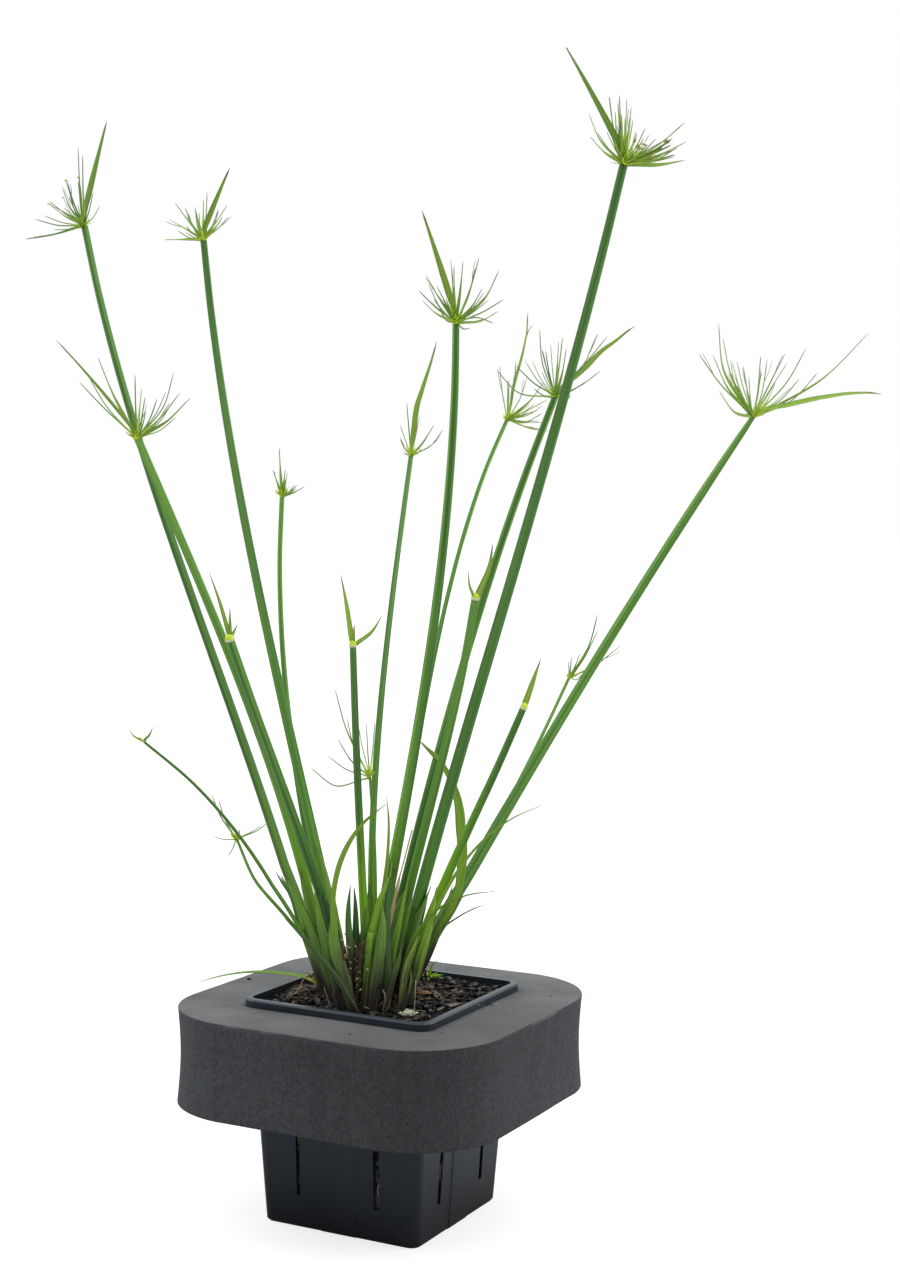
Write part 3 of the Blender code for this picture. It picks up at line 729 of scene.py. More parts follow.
def new_group(name, inputs, outputs):
    """An empty shader node group, the sockets that come into it and the node they leave it by."""
    tree = bpy.data.node_groups.new(name, "ShaderNodeTree")
    for socket, kind, value in inputs:
        made = tree.interface.new_socket(socket, in_out="INPUT", socket_type="NodeSocket" + kind)
        if value is not None:
            made.default_value = value
    for socket in outputs:
        tree.interface.new_socket(socket, in_out="OUTPUT", socket_type="NodeSocketFloat")
    return tree, tree.nodes.new("NodeGroupInput").outputs, tree.nodes.new("NodeGroupOutput")


# Plant skin: broad tonal bands and fine veins that run along a stem or leaf, blotches and freckles.
skin_group, skin_in, skin_out = new_group(
    "plant skin",
    [("Skin", "Vector", None), ("Tint", "Float", 0.5), ("Band Scale", "Float", 1.2),
     ("Vein Scale", "Float", 9.0)],
    ("Bands", "Veins", "Blotches", "Freckles"),
)
skin_shift = times(skin_group, skin_in["Tint"], 37.0)
for output, stretch, scale, detail in (
    ("Bands", 0.09, skin_in["Band Scale"], 1.0),
    ("Veins", 0.1, skin_in["Vein Scale"], 3.0),
    ("Blotches", 1.0, 1.1, 5.0),
):
    place = drawn_out(skin_group, skin_in["Skin"], stretch)
    sizes = {"Vector": place, "W": skin_shift, "Scale": scale, "Detail": detail}
    pattern = add_node(skin_group, "TexNoise", sizes, noise_dimensions="4D").outputs["Fac"]
    feed(skin_group, skin_out, {output: ramp_share(skin_group, pattern, 0.34, 0.66)})
spot_sizes = {"Vector": skin_in["Skin"], "W": skin_shift, "Scale": 5.0}
spots = add_node(skin_group, "TexVoronoi", spot_sizes, voronoi_dimensions="4D")
spot_pick = add_node(skin_group, "SeparateColor", {"Color": spots.outputs["Color"]}).outputs["Green"]
spot_rare = maths(skin_group, "GREATER_THAN", spot_pick, 0.8)
spot_near = ramp_share(skin_group, spots.outputs["Distance"], 0.2, 0.06)
feed(skin_group, skin_out, {"Freckles": times(skin_group, spot_near, spot_rare)})


def skin_nodes(tree, band_scale, vein_scale):
    """Places the plant skin group in a material and feeds it the piece's own marks."""
    marks = {"Skin": read_mark(tree, "skin", "Vector"), "Tint": read_mark(tree, "tint")}
    scales = {"Band Scale": band_scale, "Vein Scale": vein_scale}
    return add_node(tree, "Group", {**marks, **scales}, node_tree=skin_group).outputs


soil_top = crown_high.z


def height_over_soil(tree, skin):
    """How high a point of the plant is over the soil in metres, made uneven by its blotches."""
    place = add_node(tree, "TexCoord").outputs["Object"]
    above = maths(tree, "SUBTRACT", one_axis(tree, place), soil_top)
    damper = ramp_share(tree, reach_along(tree, place, across - toward * 0.6), 0.0, 0.01)
    above = maths(tree, "SUBTRACT", above, times(tree, damper, 0.007))
    return plus(tree, above, swing(tree, skin["Blotches"], 0.014))


stem_finish, tree, shader = new_material("green stem skin")
skin = skin_nodes(tree, 1.25, 7.0)
uneven = height_over_soil(tree, skin)
lightness = read_mark(tree, "lightness")
deep = mix_colours(tree, lightness, (0.012, 0.066, 0.011), (0.082, 0.238, 0.026))
light = mix_colours(tree, lightness, (0.042, 0.147, 0.028), (0.2, 0.415, 0.062))
stem_colour = mix_colours(tree, skin["Bands"], deep, light)
stem_colour = mix_colours(tree, times(tree, skin["Veins"], 0.22), stem_colour, (0.16, 0.3, 0.07))
young = mix_colours(tree, skin["Bands"], (0.12, 0.32, 0.006), (0.25, 0.47, 0.012))
flushed = times(tree, ramp_share(tree, uneven, 0.125, 0.04), read_mark(tree, "flush"))
stem_colour = mix_colours(tree, flushed, stem_colour, young)
shaded = times(tree, ramp_share(tree, uneven, 0.045, 0.012), 0.7)
stem_colour = mix_colours(tree, shaded, stem_colour, (0.025, 0.038, 0.016))
earthy = mix_colours(tree, skin["Veins"], (0.008, 0.007, 0.005), (0.04, 0.028, 0.02))
stem_colour = mix_colours(tree, ramp_share(tree, uneven, 0.022, 0.003), stem_colour, earthy)
feed(tree, shader, {
    "Base Color": mix_colours(tree, times(tree, skin["Freckles"], 0.3), stem_colour, (0.04, 0.05, 0.015)),
    "Roughness": rescale(tree, skin["Blotches"], 0.42, 0.56),
    "Specular IOR Level": 0.22,
    "Normal": bump(tree, plus(tree, skin["Veins"], times(tree, skin["Bands"], 0.8)), 0.12, 0.6),
})

stem_numbers = [name[5:] for name in sorted(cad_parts) if name.startswith("stem_")]
stem_lines, stem_radii = {}, {}
stem_sides = 30
stem_step = 4 * mm
# How light each stem is at its foot, middle and top, partly its own tone and partly painted light and
# shade as it falls on that stem, and how far its lower part flushes yellow-green, all from 0 to 1. Then
# how wide it is at its foot and at its top, as shares of its solid.
stem_looks = {
    "01": (0.3, 0.3, 0.35, 0.2, 1.1, 1.1), "02": (1.0, 0.45, 1.0, 0.6, 1.05, 0.98),
    "03": (0.8, 0.35, 0.3, 0.2, 1.1, 1.1), "04": (0.85, 0.5, 0.25, 0.2, 1.04, 1.04),
    "05": (0.0, 0.4, 0.5, 0.0, 1.05, 1.0), "06": (0.5, 0.6, 0.7, 0.1, 1.1, 1.0),
    "07": (0.1, 0.75, 1.0, 0.2, 1.2, 1.2), "08": (0.4, 0.0, 0.2, 1.0, 1.12, 1.0),
    "09": (0.3, 0.4, 0.75, 0.5, 1.05, 1.05), "10": (1.0, 0.35, 0.35, 0.3, 0.95, 0.95),
    "11": (0.9, 0.45, 0.4, 0.4, 1.08, 1.02), "12": (0.35, 0.65, 0.65, 0.3, 1.05, 1.0),
    "13": (1.0, 0.7, 0.9, 0.2, 0.95, 0.88), "14": (0.45, 0.6, 0.3, 1.0, 1.08, 1.03),
    "15": (0.0, 0.6, 0.5, 0.1, 1.0, 0.92), "16": (0.1, 0.75, 0.9, 0.3, 1.05, 1.05),
    "17": (0.45, 0.15, 0.12, 0.0, 1.0, 1.07), "18": (0.35, 0.8, 0.62, 0.0, 0.96, 1.04),
}
# How narrow a stem ends under its umbel, as a share of its width a few centimetres lower.
narrow_tops = {"18": 0.62}
# How much painted highlight lies along the ridges of a stem, and how much painted shade lies in its grooves.
even_painted_ridge_highlight = 0.22
painted_ridge_highlights = {"18": 0.8, "11": 0.45, "02": 0.4}
# How many such painted highlight lines run round a stem. The rest have three, one on each ridge.
lines_round = {"18": 6}
# How far the lowest part of a stem curves aside from its solid, in mm to the photograph's right.
foot_curves = {"01": 4.0, "03": 5.0, "06": 5.0, "18": -1.5}
foot_curve_heights = np.array((120, 138, 155, 178)) * mm
for number in stem_numbers:
    node = "stem_" + number
    dice = np.random.default_rng(100 + int(number))
    *lightness, flush, low_width, high_width = stem_looks[number]
    middles, reaches = centreline(node, foot_of(node))
    middles[0] -= unit(middles[1] - middles[0]) * 3 * mm
    steps = int(np.linalg.norm(middles[-1] - middles[0]) / stem_step)
    line = smooth_line(middles, steps)
    curve = np.interp(line[:, 2], foot_curve_heights, (1, 0.95, 0.5, 0))
    line = line + across * (curve * foot_curves.get(number, 0) * mm)[:, None]
    share = np.linspace(0, 1, steps)
    from_foot = np.arange(steps) * stem_step
    radii = evened(reaches, steps) * np.interp(share, (0, 1), (low_width, high_width))
    radii *= 1 + 0.04 * np.exp(-from_foot / (40 * mm))
    top_share = narrow_tops.get(number, 1)
    radii *= np.interp(from_foot[-1] - from_foot, (0, 12 * mm, 48 * mm), (top_share, (1 + top_share) / 2, 1))
    stem_lines[number], stem_radii[number] = line, radii
    side, out = frames_along(line, toward)
    angle = np.linspace(0, 2 * pi, stem_sides, endpoint=False)
    start_turn = dice.uniform(0, 2 * pi)
    rib_turn = dice.uniform(0, 2 * pi, 3)
    section = 0.085 * np.cos(3 * (angle - start_turn)) + 0.022 * np.cos(6 * (angle - start_turn))
    section = section * np.interp(share, (0, 0.4, 1), (1, 0.75, 0.6))[:, None]
    section = section + 0.024 * np.cos(5 * angle + rib_turn[0]) + 0.02 * np.cos(8 * angle + rib_turn[1])
    section = section + 0.01 * np.cos(13 * angle + rib_turn[2])
    swell = 1 + 0.012 * lumps(line, 21 * mm, int(number))
    radius = (radii * swell)[:, None] * (0.97 + section)
    rows = line[:, None] + radius[..., None] * (
        side[:, None] * np.cos(angle)[:, None] + out[:, None] * np.sin(angle)[:, None]
    )
    stem_sheaf = Sheaf()
    stem_sheaf.add_rows(rows, np.column_stack((np.cos(angle), np.sin(angle))), dice.random())
    stem = stem_sheaf.piece("culm_" + number, [stem_finish])
    # Painted highlights along the ridges and painted shade in the grooves, added to each stem's lightness.
    lined = lines_round.get(number, 3) * (angle - start_turn)
    painted_ridge_highlight_and_groove_shade = np.clip(np.cos(lined) * 3 - 2, 0, 1) - np.clip(np.cos(lined + 2) * 3 - 2, 0, 1)
    painted_ridge_highlight_and_groove_shade *= painted_ridge_highlights.get(number, even_painted_ridge_highlight)
    tone_with_painted_ridges = np.interp(share, (0.15, 0.5, 0.9), lightness)[:, None] + painted_ridge_highlight_and_groove_shade
    mark_points(stem, {"flush": np.full(tone_with_painted_ridges.size, flush), "lightness": tone_with_painted_ridges.ravel().clip(0, 1)})
    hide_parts(node)
    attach(stem, "root")

# Sheaths. Every stem rose through one to three leaf bases rolled round its foot: thin, keeled, finely
# veined, brown-purple at the soil and split open to a pointed tip.


def leaf_finish(name, deep, light, tip_colour, tip_start, edge=(0.3, 0.38, 0.12), stain_and_shade=0.0, dry=0.0):
    """Bands, veins, a pale midrib and drying tip and edges. Near the soil a leaf's foot darkens, partly a
    soil stain and partly painted shade, as strongly as the given share.
    """
    made, tree, shader = new_material(name)
    skin = skin_nodes(tree, 1.0, 6.0)
    from_rib = maths(tree, "ABSOLUTE", one_axis(tree, read_mark(tree, "skin", "Vector"), "X"))
    middle = ramp_share(tree, from_rib, 0.22, 0.0)
    rim = ramp_share(tree, from_rib, 0.84, 1.0)
    broad = plus(tree, times(tree, skin["Bands"], 0.35), times(tree, read_mark(tree, "tint"), 0.65))
    colour = mix_colours(tree, broad, deep, light)
    for share, gain in ((times(tree, skin["Veins"], 0.25), 1.4), (times(tree, middle, 0.35), 1.3)):
        colour = mix_colours(tree, share, colour, [channel * gain + 0.02 for channel in light])
    colour = mix_colours(tree, times(tree, rim, 0.4), colour, edge)
    wavering = plus(tree, read_mark(tree, "along"), swing(tree, skin["Blotches"], 0.2))
    colour = mix_colours(tree, ramp_share(tree, wavering, tip_start, tip_start + 0.14), colour, tip_colour)
    # Near the soil: partly a soil stain and partly painted shade.
    if stain_and_shade:
        uneven = height_over_soil(tree, skin)
        stain_and_shade_colour = mix_colours(tree, skin["Bands"], (0.022, 0.032, 0.012), (0.07, 0.075, 0.035))
        purple = mix_colours(tree, skin["Veins"], (0.007, 0.006, 0.005), (0.036, 0.025, 0.02))
        colour = mix_colours(tree, times(tree, ramp_share(tree, uneven, 0.05, 0.01), stain_and_shade), colour, stain_and_shade_colour)
        colour = mix_colours(tree, ramp_share(tree, uneven, 0.024, 0.003), colour, purple)
    freckled = times(tree, skin["Freckles"], 0.35 + dry)
    feed(tree, shader, {
        "Base Color": mix_colours(tree, freckled, colour, (0.1, 0.06, 0.025)),
        "Roughness": rescale(tree, skin["Blotches"], 0.42, 0.6),
        "Specular IOR Level": 0.35,
        "Normal": bump(tree, plus(tree, skin["Veins"], times(tree, skin["Bands"], 0.5)), 0.1, 0.7),
    })
    return made


sheath_finish = leaf_finish(
    "leaf sheath", (0.024, 0.09, 0.018), (0.17, 0.33, 0.028), (0.12, 0.13, 0.04), 0.93,
    edge=(0.13, 0.09, 0.035), stain_and_shade=0.85,
)


def spread_directions(turn_degrees):
    """A level direction, turned from the camera's side to the photograph's right."""
    turn = radians(turn_degrees)
    return toward * cos(turn) + across * sin(turn)


# For each stem, from its outermost sheath inward: height in mm, the way it faces in degrees from the
# camera's side to the right, and how light it is.
sheath_rows = {
    "01": ((66, -40, 0.7), (40, 60, 0.5)), "02": ((74, -20, 0.95), (52, -95, 0.8), (38, 40, 0.6)),
    "03": ((18, 60, 0.3),), "04": ((82, 20, 0.6), (54, -60, 0.9)),
    "05": ((66, 35, 0.0), (44, -15, 0.2), (30, 70, 0.5)), "06": ((18, 60, 0.3),),
    "07": ((52, -70, 0.4),), "08": ((60, 25, 0.7), (34, -30, 0.3)),
    "09": ((40, 0, 0.5),), "10": ((62, -10, 0.4),),
    "11": ((78, 15, 0.35), (50, -40, 0.2)), "12": ((64, 30, 0.25), (42, -10, 0.5)),
    "13": ((50, 90, 0.5),), "14": ((60, 60, 0.95), (38, -20, 0.6)),
    "15": ((68, 50, 0.6),), "16": ((44, 80, 0.4),),
    "17": ((66, 70, 0.5), (56, -15, 0.1), (38, 30, 0.3)),
    "18": ((62, 30, 0.55), (50, 95, 0.1), (40, -20, 0.4)),
}
sheath_steps = 26
for number in stem_numbers:
    wrapped = Sheaf()
    line, radii = stem_lines[number], stem_radii[number]
    run = np.concatenate(([0], np.cumsum(np.linalg.norm(np.diff(line, axis=0), axis=1))))
    for layer, (height_mm, turn, lightness) in enumerate(sheath_rows[number][::-1]):
        dice = np.random.default_rng(500 + int(number) * 7 + layer)
        share = np.linspace(0, 1, sheath_steps)
        even = share * height_mm * mm
        mid = np.column_stack([np.interp(even, run, line[:, axis]) for axis in range(3)])
        facing = spread_directions(turn)
        lift = np.clip((share - 0.5) / 0.5, 0, 1) ** 2 * dice.uniform(0.8, 3.2) * mm
        mid = mid + facing * lift[:, None]
        open_share = np.clip((share - 0.36) / 0.64, 0, 1)
        wraps = np.maximum(0.99 * (1 - open_share) ** 0.9, 0.05) * pi
        fit = np.interp(even, run, radii) * (1.03 + 0.1 * np.exp(-((share - 0.2) / 0.3) ** 2))
        fit = fit + (0.15 + 0.17 * (2 - layer)) * mm
        fit = fit * (1 - 0.25 * np.clip((share - 0.7) / 0.3, 0, 1))
        wrapped.sheath(mid, fit, wraps, facing, 0.3 * mm, lightness)
    sheaths = wrapped.piece("sheaths_" + number, [sheath_finish])
    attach(sheaths, "root")

# Umbels and buds. Each stem ends in a small cup of short bright bracts, from which fine rays fan out
# and up, forking near their tips. Some carry small yellow spikelets. Five young stems end in buds.
ray_finish, tree, shader = new_material("ray skin")
skin = skin_nodes(tree, 1.0, 4.0)
tint = read_mark(tree, "tint")
along = read_mark(tree, "along")
fresh = mix_colours(tree, tint, (0.25, 0.43, 0.014), (0.52, 0.68, 0.04))
grown = mix_colours(tree, tint, (0.055, 0.17, 0.035), (0.24, 0.4, 0.05))
aged = mix_colours(tree, tint, (0.04, 0.08, 0.03), (0.15, 0.22, 0.06))
ray_colour = mix_colours(tree, ramp_share(tree, along, 0.13, 0.46), fresh, grown)
ray_colour = mix_colours(tree, ramp_share(tree, along, 0.55, 0.95), ray_colour, aged)
feed(tree, shader, {
    "Base Color": mix_colours(tree, times(tree, skin["Veins"], 0.15), ray_colour, (0.35, 0.5, 0.14)),
    "Roughness": 0.5,
    "Normal": bump(tree, skin["Veins"], 0.05, 0.5),
})

bractlet_finish = leaf_finish("short bract", (0.07, 0.2, 0.025), (0.33, 0.5, 0.045), (0.13, 0.15, 0.08), 0.8)
cup_finish = leaf_finish("bract cup", (0.34, 0.52, 0.008), (0.6, 0.74, 0.03), (0.45, 0.6, 0.06), 0.9)
ring_finish = leaf_finish("pale joint ring", (0.34, 0.42, 0.16), (0.62, 0.66, 0.36), (0.5, 0.55, 0.3), 2.0)

spikelet_finish, tree, shader = new_material("spikelet scales")
skin = skin_nodes(tree, 2.0, 12.0)
scales = mix_colours(tree, skin["Bands"], (0.42, 0.46, 0.05), (0.7, 0.68, 0.2))
feed(tree, shader, {
    "Base Color": mix_colours(tree, times(tree, skin["Blotches"], 0.4), scales, (0.3, 0.22, 0.07)),
    "Roughness": 0.6,
    "Normal": bump(tree, skin["Veins"], 0.1, 0.8),
})

# Rays that differ from the rest: tip across and up from the joint in mm, then bow, then width in mm.
# A bow is how far the middle hangs below the straight line, as a share of the length.
odd_rays = {
    "01": [(-33, -10, 0.03, 1.1), (14, 3, 0.05, 0.7)],
    "02": [(0, 22, 0.0, 1.5), (-19, 36, 0.03, 1.6)],
    "03": [(7, 6, 0.1, 1.5), (-5, 5, 0.1, 1.2)],
    "04": [(-21, -3, 0.0, 1.7), (-1, 19, 0.02, 1.7)],
    "05": [(-9, 30, -0.02, 2.2), (1, 14, 0.0, 1.8), (4, 5, 0.0, 1.8)],
    "07": [(-2, 23, 0.02, 1.7), (-5, 11, 0.0, 1.5), (12, 2, 0.05, 1.4), (2, 11, 0.0, 1.6)],
    "08": [(-6, 32, -0.02, 2.8), (14, 12, 0.1, 2.2), (1, 8, 0.0, 2.2)],
    "09": [(-29, 1, 0.24, 0.9), (-18, 40, 0.05, 1.0)],
    "10": [(-3, 25, 0.0, 0.9)],
    "11": [(21, 23, 0.1, 1.6), (18, -5, -0.1, 0.9), (-3, 28, 0.0, 1.3), (-17, 9, 0.06, 1.3)],
    "12": [(-4, 12, 0.12, 1.6), (8, 25, 0.08, 3.4)],
    "14": [(7, 22, 0.0, 3.3)],
    "15": [(-33, 11, 0.18, 0.9), (-10, 33, 0.1, 0.9), (3, 30, 0.0, 1.0)],
    "16": [(14, 31, 0.08, 1.2)],
    "17": [(29, 0, 0.05, 2.4), (29, 8, 0.05, 1.5), (-4, 27, 0.04, 1.8), (13, 14, 0.06, 1.5)],
    "18": [(59, 42, 0.07, 1.3), (-20, 46, 0.12, 1.7), (-24, 8, 0.12, 1.7), (-26, 27, 0.09, 1.7)],
}
# How many more rays stand among the measured ones, the share of leafy ones, how often one forks, and
# how light the rays are.
umbel_looks = {
    "01": (20, 0.4, 0.5, 0.25), "02": (8, 0.35, 0.3, 0.45), "04": (12, 0.5, 0.3, 0.85),
    "06": (2, 0.1, 0.2, 0.4), "07": (4, 0.5, 0.1, 0.7), "09": (3, 0.1, 0.2, 0.5),
    "10": (4, 0.3, 0.2, 0.6), "11": (12, 0.4, 0.35, 0.45), "13": (8, 0.25, 0.4, 0.7),
    "15": (8, 0.25, 0.3, 0.2), "16": (3, 0.2, 0.5, 0.5), "17": (36, 0.6, 0.6, 0.9),
    "18": (14, 0.45, 0.4, 0.75),
}
# How many times broader than usual the leafy rays of one umbel are, and the cups of two umbels.
broad_rays = {"17": 1.5}
wide_cups = {"11": 1.5, "17": 1.5}
# How many places carry spikelets, and how many stand together there. A single one sits on a ray's tip.
spikelets = {"01": (9, 1), "17": (14, 4)}
buds = ("03", "05", "08", "12", "14")
# The turn in radians from one small leaf to the next round a stem.
leaf_turn = 2.4
joint_reach = {number: (2 if number in buds else 3) * mm for number in stem_numbers}
joints = {}
for number in stem_numbers:
    line = stem_lines[number]
    axis = unit(line[-1] - line[-6])
    joints[number] = (line[-1] + axis * (joint_reach[number] + 0.3 * mm), axis)


def ray_line(root, axis, tip, bow, count):
    """A ray leaves the stem's end close to its neighbours, leans outward and lifts again to its tip."""
    way = tip - root
    reach = np.linalg.norm(way)
    heading = way / reach
    low = heading * heading[2] - upward
    low = low / max(np.linalg.norm(low), 0.35)
    outward = heading - axis * heading.dot(axis)
    near = root + way * 0.12 + outward * 0.5 * mm + low * bow * reach * 0.35
    middle = root + way * 0.55 + low * bow * reach
    return smooth_line([root - axis * 1.2 * mm, near, middle, tip], count)


def add_ray(sheaf, line, width, tint, leafy):
    """A wiry ray, or a leafy one that is broad low down and ends in a thin tail."""
    steps = len(line)
    if leafy:
        halves = width / 2 * mm * profile(steps, (0, 0.2, 0.4, 0.65, 0.95, 1), (0.7, 1, 0.9, 0.42, 0.26, 0.1))
        sheaf.blade(line, halves, toward, 0.4, 0.3 * mm, tint, twist=tint - 0.5, cross=5, finish=1)
    else:
        radii = width / 2 * mm * profile(steps, (0, 0.2, 0.5, 0.9, 1), (1.35, 1, 0.82, 0.6, 0.3))
        sheaf.strand(line, radii, 5, tint)


def add_fork(sheaf, dice, line):
    """A thin side branch that leaves a ray past its middle."""
    start = dice.integers(8, 12)
    aside = unit(np.cross(line[start + 1] - line[start], dice.normal(0, 1, 3)))
    ahead = (line[-1] - line[start]) * dice.uniform(0.7, 1.0)
    end = line[start] + ahead + aside * dice.uniform(1.2, 3) * mm
    branch = smooth_line([line[start], (line[start] + end) / 2 + aside * 0.5 * mm, end], 7)
    sheaf.strand(branch, np.linspace(0.24, 0.13, 7) * mm, 4, dice.random())


def tip_between(dice, tips):
    """A shorter tip, in some way between two of the measured ones that are neighbours."""
    first = dice.choice(len(tips), 2, replace=False)[0]
    near_tips = np.argsort([-tips[first].dot(tip) / np.linalg.norm(tip) for tip in tips])
    second = near_tips[dice.integers(1, min(5, len(tips)))]
    share = dice.uniform(0.15, 0.85)
    way = unit(tips[first]) * share + unit(tips[second]) * (1 - share) + dice.normal(0, 0.08, 3)
    reach = np.linalg.norm(tips[first]) * share + np.linalg.norm(tips[second]) * (1 - share)
    return unit(way) * reach * dice.uniform(0.45, 0.92)


def add_cup_bract(sheaf, dice, i, root, axis, stem_top, width):
    """One of the short pointed bracts that stand round the stem's end under the rays."""
    heading = i * leaf_turn + dice.normal(0, 0.3)
    rise = dice.uniform(-0.1, 1.25)
    level = across * cos(heading) + toward * sin(heading)
    reach = dice.uniform(2.5, 6.0) * mm * min(1, stem_top / (1.3 * mm)) * width
    tip = root + axis * 1.2 * mm + (level * cos(rise) + axis * sin(rise)) * reach
    line = smooth_line([root + level * 0.5 * stem_top, (root + tip) / 2 + level * 0.5 * mm, tip], 7)
    halves = dice.uniform(0.4, 0.8) * mm * profile(7, (0, 0.4, 1), (0.9, 1, 0.1)) * width
    sheaf.blade(line, halves, level + axis * 0.1, 0.4, 0.3 * mm, dice.random(), cross=5, finish=3)


def add_spikelets(sheaf, dice, ray_lines, root, together):
    """One spikelet on the tip of a ray, or several together partway along a ray at the right."""
    single = together == 1
    line = ray_lines[dice.integers(len(ray_lines))]
    while not single and (line[-1] - root).dot(across) < 5 * mm:
        line = ray_lines[dice.integers(len(ray_lines))]
    at = -1 if single else dice.integers(len(line) // 2, len(line) - 2)
    for _ in range(together):
        way = unit(unit(line[at] - line[at - 2]) + dice.normal(0, 0.5, 3))
        length = 1.2 if single else dice.uniform(1.6, 3.0)
        spikelet = line[at] + way * np.linspace(0, length, 7)[:, None] * mm
        radii = 0.5 * mm * np.array((0.3, 0.8, 1, 1, 0.85, 0.5, 0.1))
        sheaf.strand(spikelet, radii, 6, dice.random(), facing=np.cross(way, (0.3, 0.5, 0.8)), finish=2)


umbel_finishes = [ray_finish, bractlet_finish, spikelet_finish, cup_finish, ring_finish]
cup_bract_count = 26
for number in stem_numbers:
    dice = np.random.default_rng(900 + int(number))
    centre, axis = joints[number]
    root = stem_lines[number][-1]
    points = node_points("head_" + number) - centre
    tips = [point for point in points if np.linalg.norm(point) > 1.35 * joint_reach[number]]
    umbel = Sheaf()
    bud = number in buds
    stem_top = stem_radii[number][-1]
    cup_line = root + axis * np.array((-1.0, -0.2, 0.6, 1.4, 2.2, 2.8))[:, None] * mm
    cup_radii = stem_top * np.array((0.9, 1.04, 1.08, 1.0, 0.7, 0.2))
    umbel.strand(cup_line, cup_radii, 14, 0.6, facing=toward, finish=3)
    if bud:
        ring_line = root + axis * np.array((-0.9, -0.6, 0.0, 0.5, 0.8))[:, None] * mm
        ring_radii = stem_top * np.array((0.96, 1.12, 1.18, 1.1, 0.95))
        umbel.strand(ring_line, ring_radii, 18, 0.95, facing=toward, finish=4)
    more, leafy_share, forked, lightness = umbel_looks.get(number, (0, 0, 0, 0.6))
    ray_lines = []
    for tip in tips:
        seen_at = np.array((tip.dot(across), tip[2])) / mm
        leafy, odd = dice.random() < leafy_share * 0.5, False
        bow = dice.normal(0.06, 0.03)
        width = dice.uniform(1.3, 1.7) if leafy else dice.uniform(0.75, 1.0)
        for odd_across, odd_up, odd_bow, odd_width in odd_rays.get(number, ()):
            if np.hypot(*(seen_at - (odd_across, odd_up))) < 2.5:
                bow, width, leafy, odd = odd_bow, odd_width, 1.25 < odd_width < 1.9, True
        line = ray_line(root, axis, centre + tip, bow, 17)
        if width > 1.9 or bud:
            halves = width / 2 * mm * profile(17, (0, 0.15, 0.5, 1), (0.7, 1, 0.8, 0.08))
            umbel.blade(line, halves, toward, 0.4, 0.35 * mm, dice.random(), finish=1)
        else:
            add_ray(umbel, line, width, np.clip(lightness + dice.normal(0, 0.2), 0, 1), leafy)
        ray_lines.append(line)
        if dice.random() < forked and not odd:
            add_fork(umbel, dice, line)
    for _ in range(more):
        tip = tip_between(dice, tips)
        leafy = dice.random() < leafy_share
        width = dice.uniform(1.1, 1.7) * broad_rays.get(number, 1) if leafy else dice.uniform(0.6, 0.9)
        line = ray_line(root, axis, centre + tip, dice.normal(0.05, 0.03), 13)
        add_ray(umbel, line, width, np.clip(lightness + dice.normal(0, 0.2), 0, 1), leafy)
        ray_lines.append(line)
    for i in range(0 if bud else cup_bract_count):
        add_cup_bract(umbel, dice, i, root, axis, stem_top, wide_cups.get(number, 1))
    places, together = spikelets.get(number, (0, 0))
    for _ in range(places):
        add_spikelets(umbel, dice, ray_lines, root, together)
    made = umbel.piece("umbel_" + number, umbel_finishes)
    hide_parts("head_" + number)
    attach(made, "root")

# Long bracts. Nine umbels carry one long leaf-like bract that grew from the joint, folded at its
# midrib, green and drying to grey-brown at the tip. Some are kinked, wavy or arched.
bract_finish = leaf_finish("long bract", (0.05, 0.165, 0.014), (0.26, 0.42, 0.035), (0.12, 0.115, 0.07), 0.86)
# Where each odd one leaves the even curve: share of its length, then mm across and up.
bract_bends = {
    "02": ((0.3, 1.2, -1.0), (0.6, 1.6, -1.4), (0.85, 0.8, -0.6)),
    "10": ((0.25, -1.4, 0.0), (0.42, -2.6, 0.2), (0.6, -1.6, 0.2), (0.8, -0.5, 0.0)),
    "13": ((0.3, -0.6, 0.0), (0.6, 1.4, 0.0), (0.8, 1.7, 0.0)),
    "15": ((0.4, 0.0, -0.5), (0.6, 0.0, 1.3), (0.78, 0.0, 0.1), (0.88, 0.0, 0.6)),
    "18": ((0.25, 0.0, -0.2), (0.55, 0.0, 1.4), (0.75, 0.0, 1.9), (0.9, 0.0, 1.3)),
}
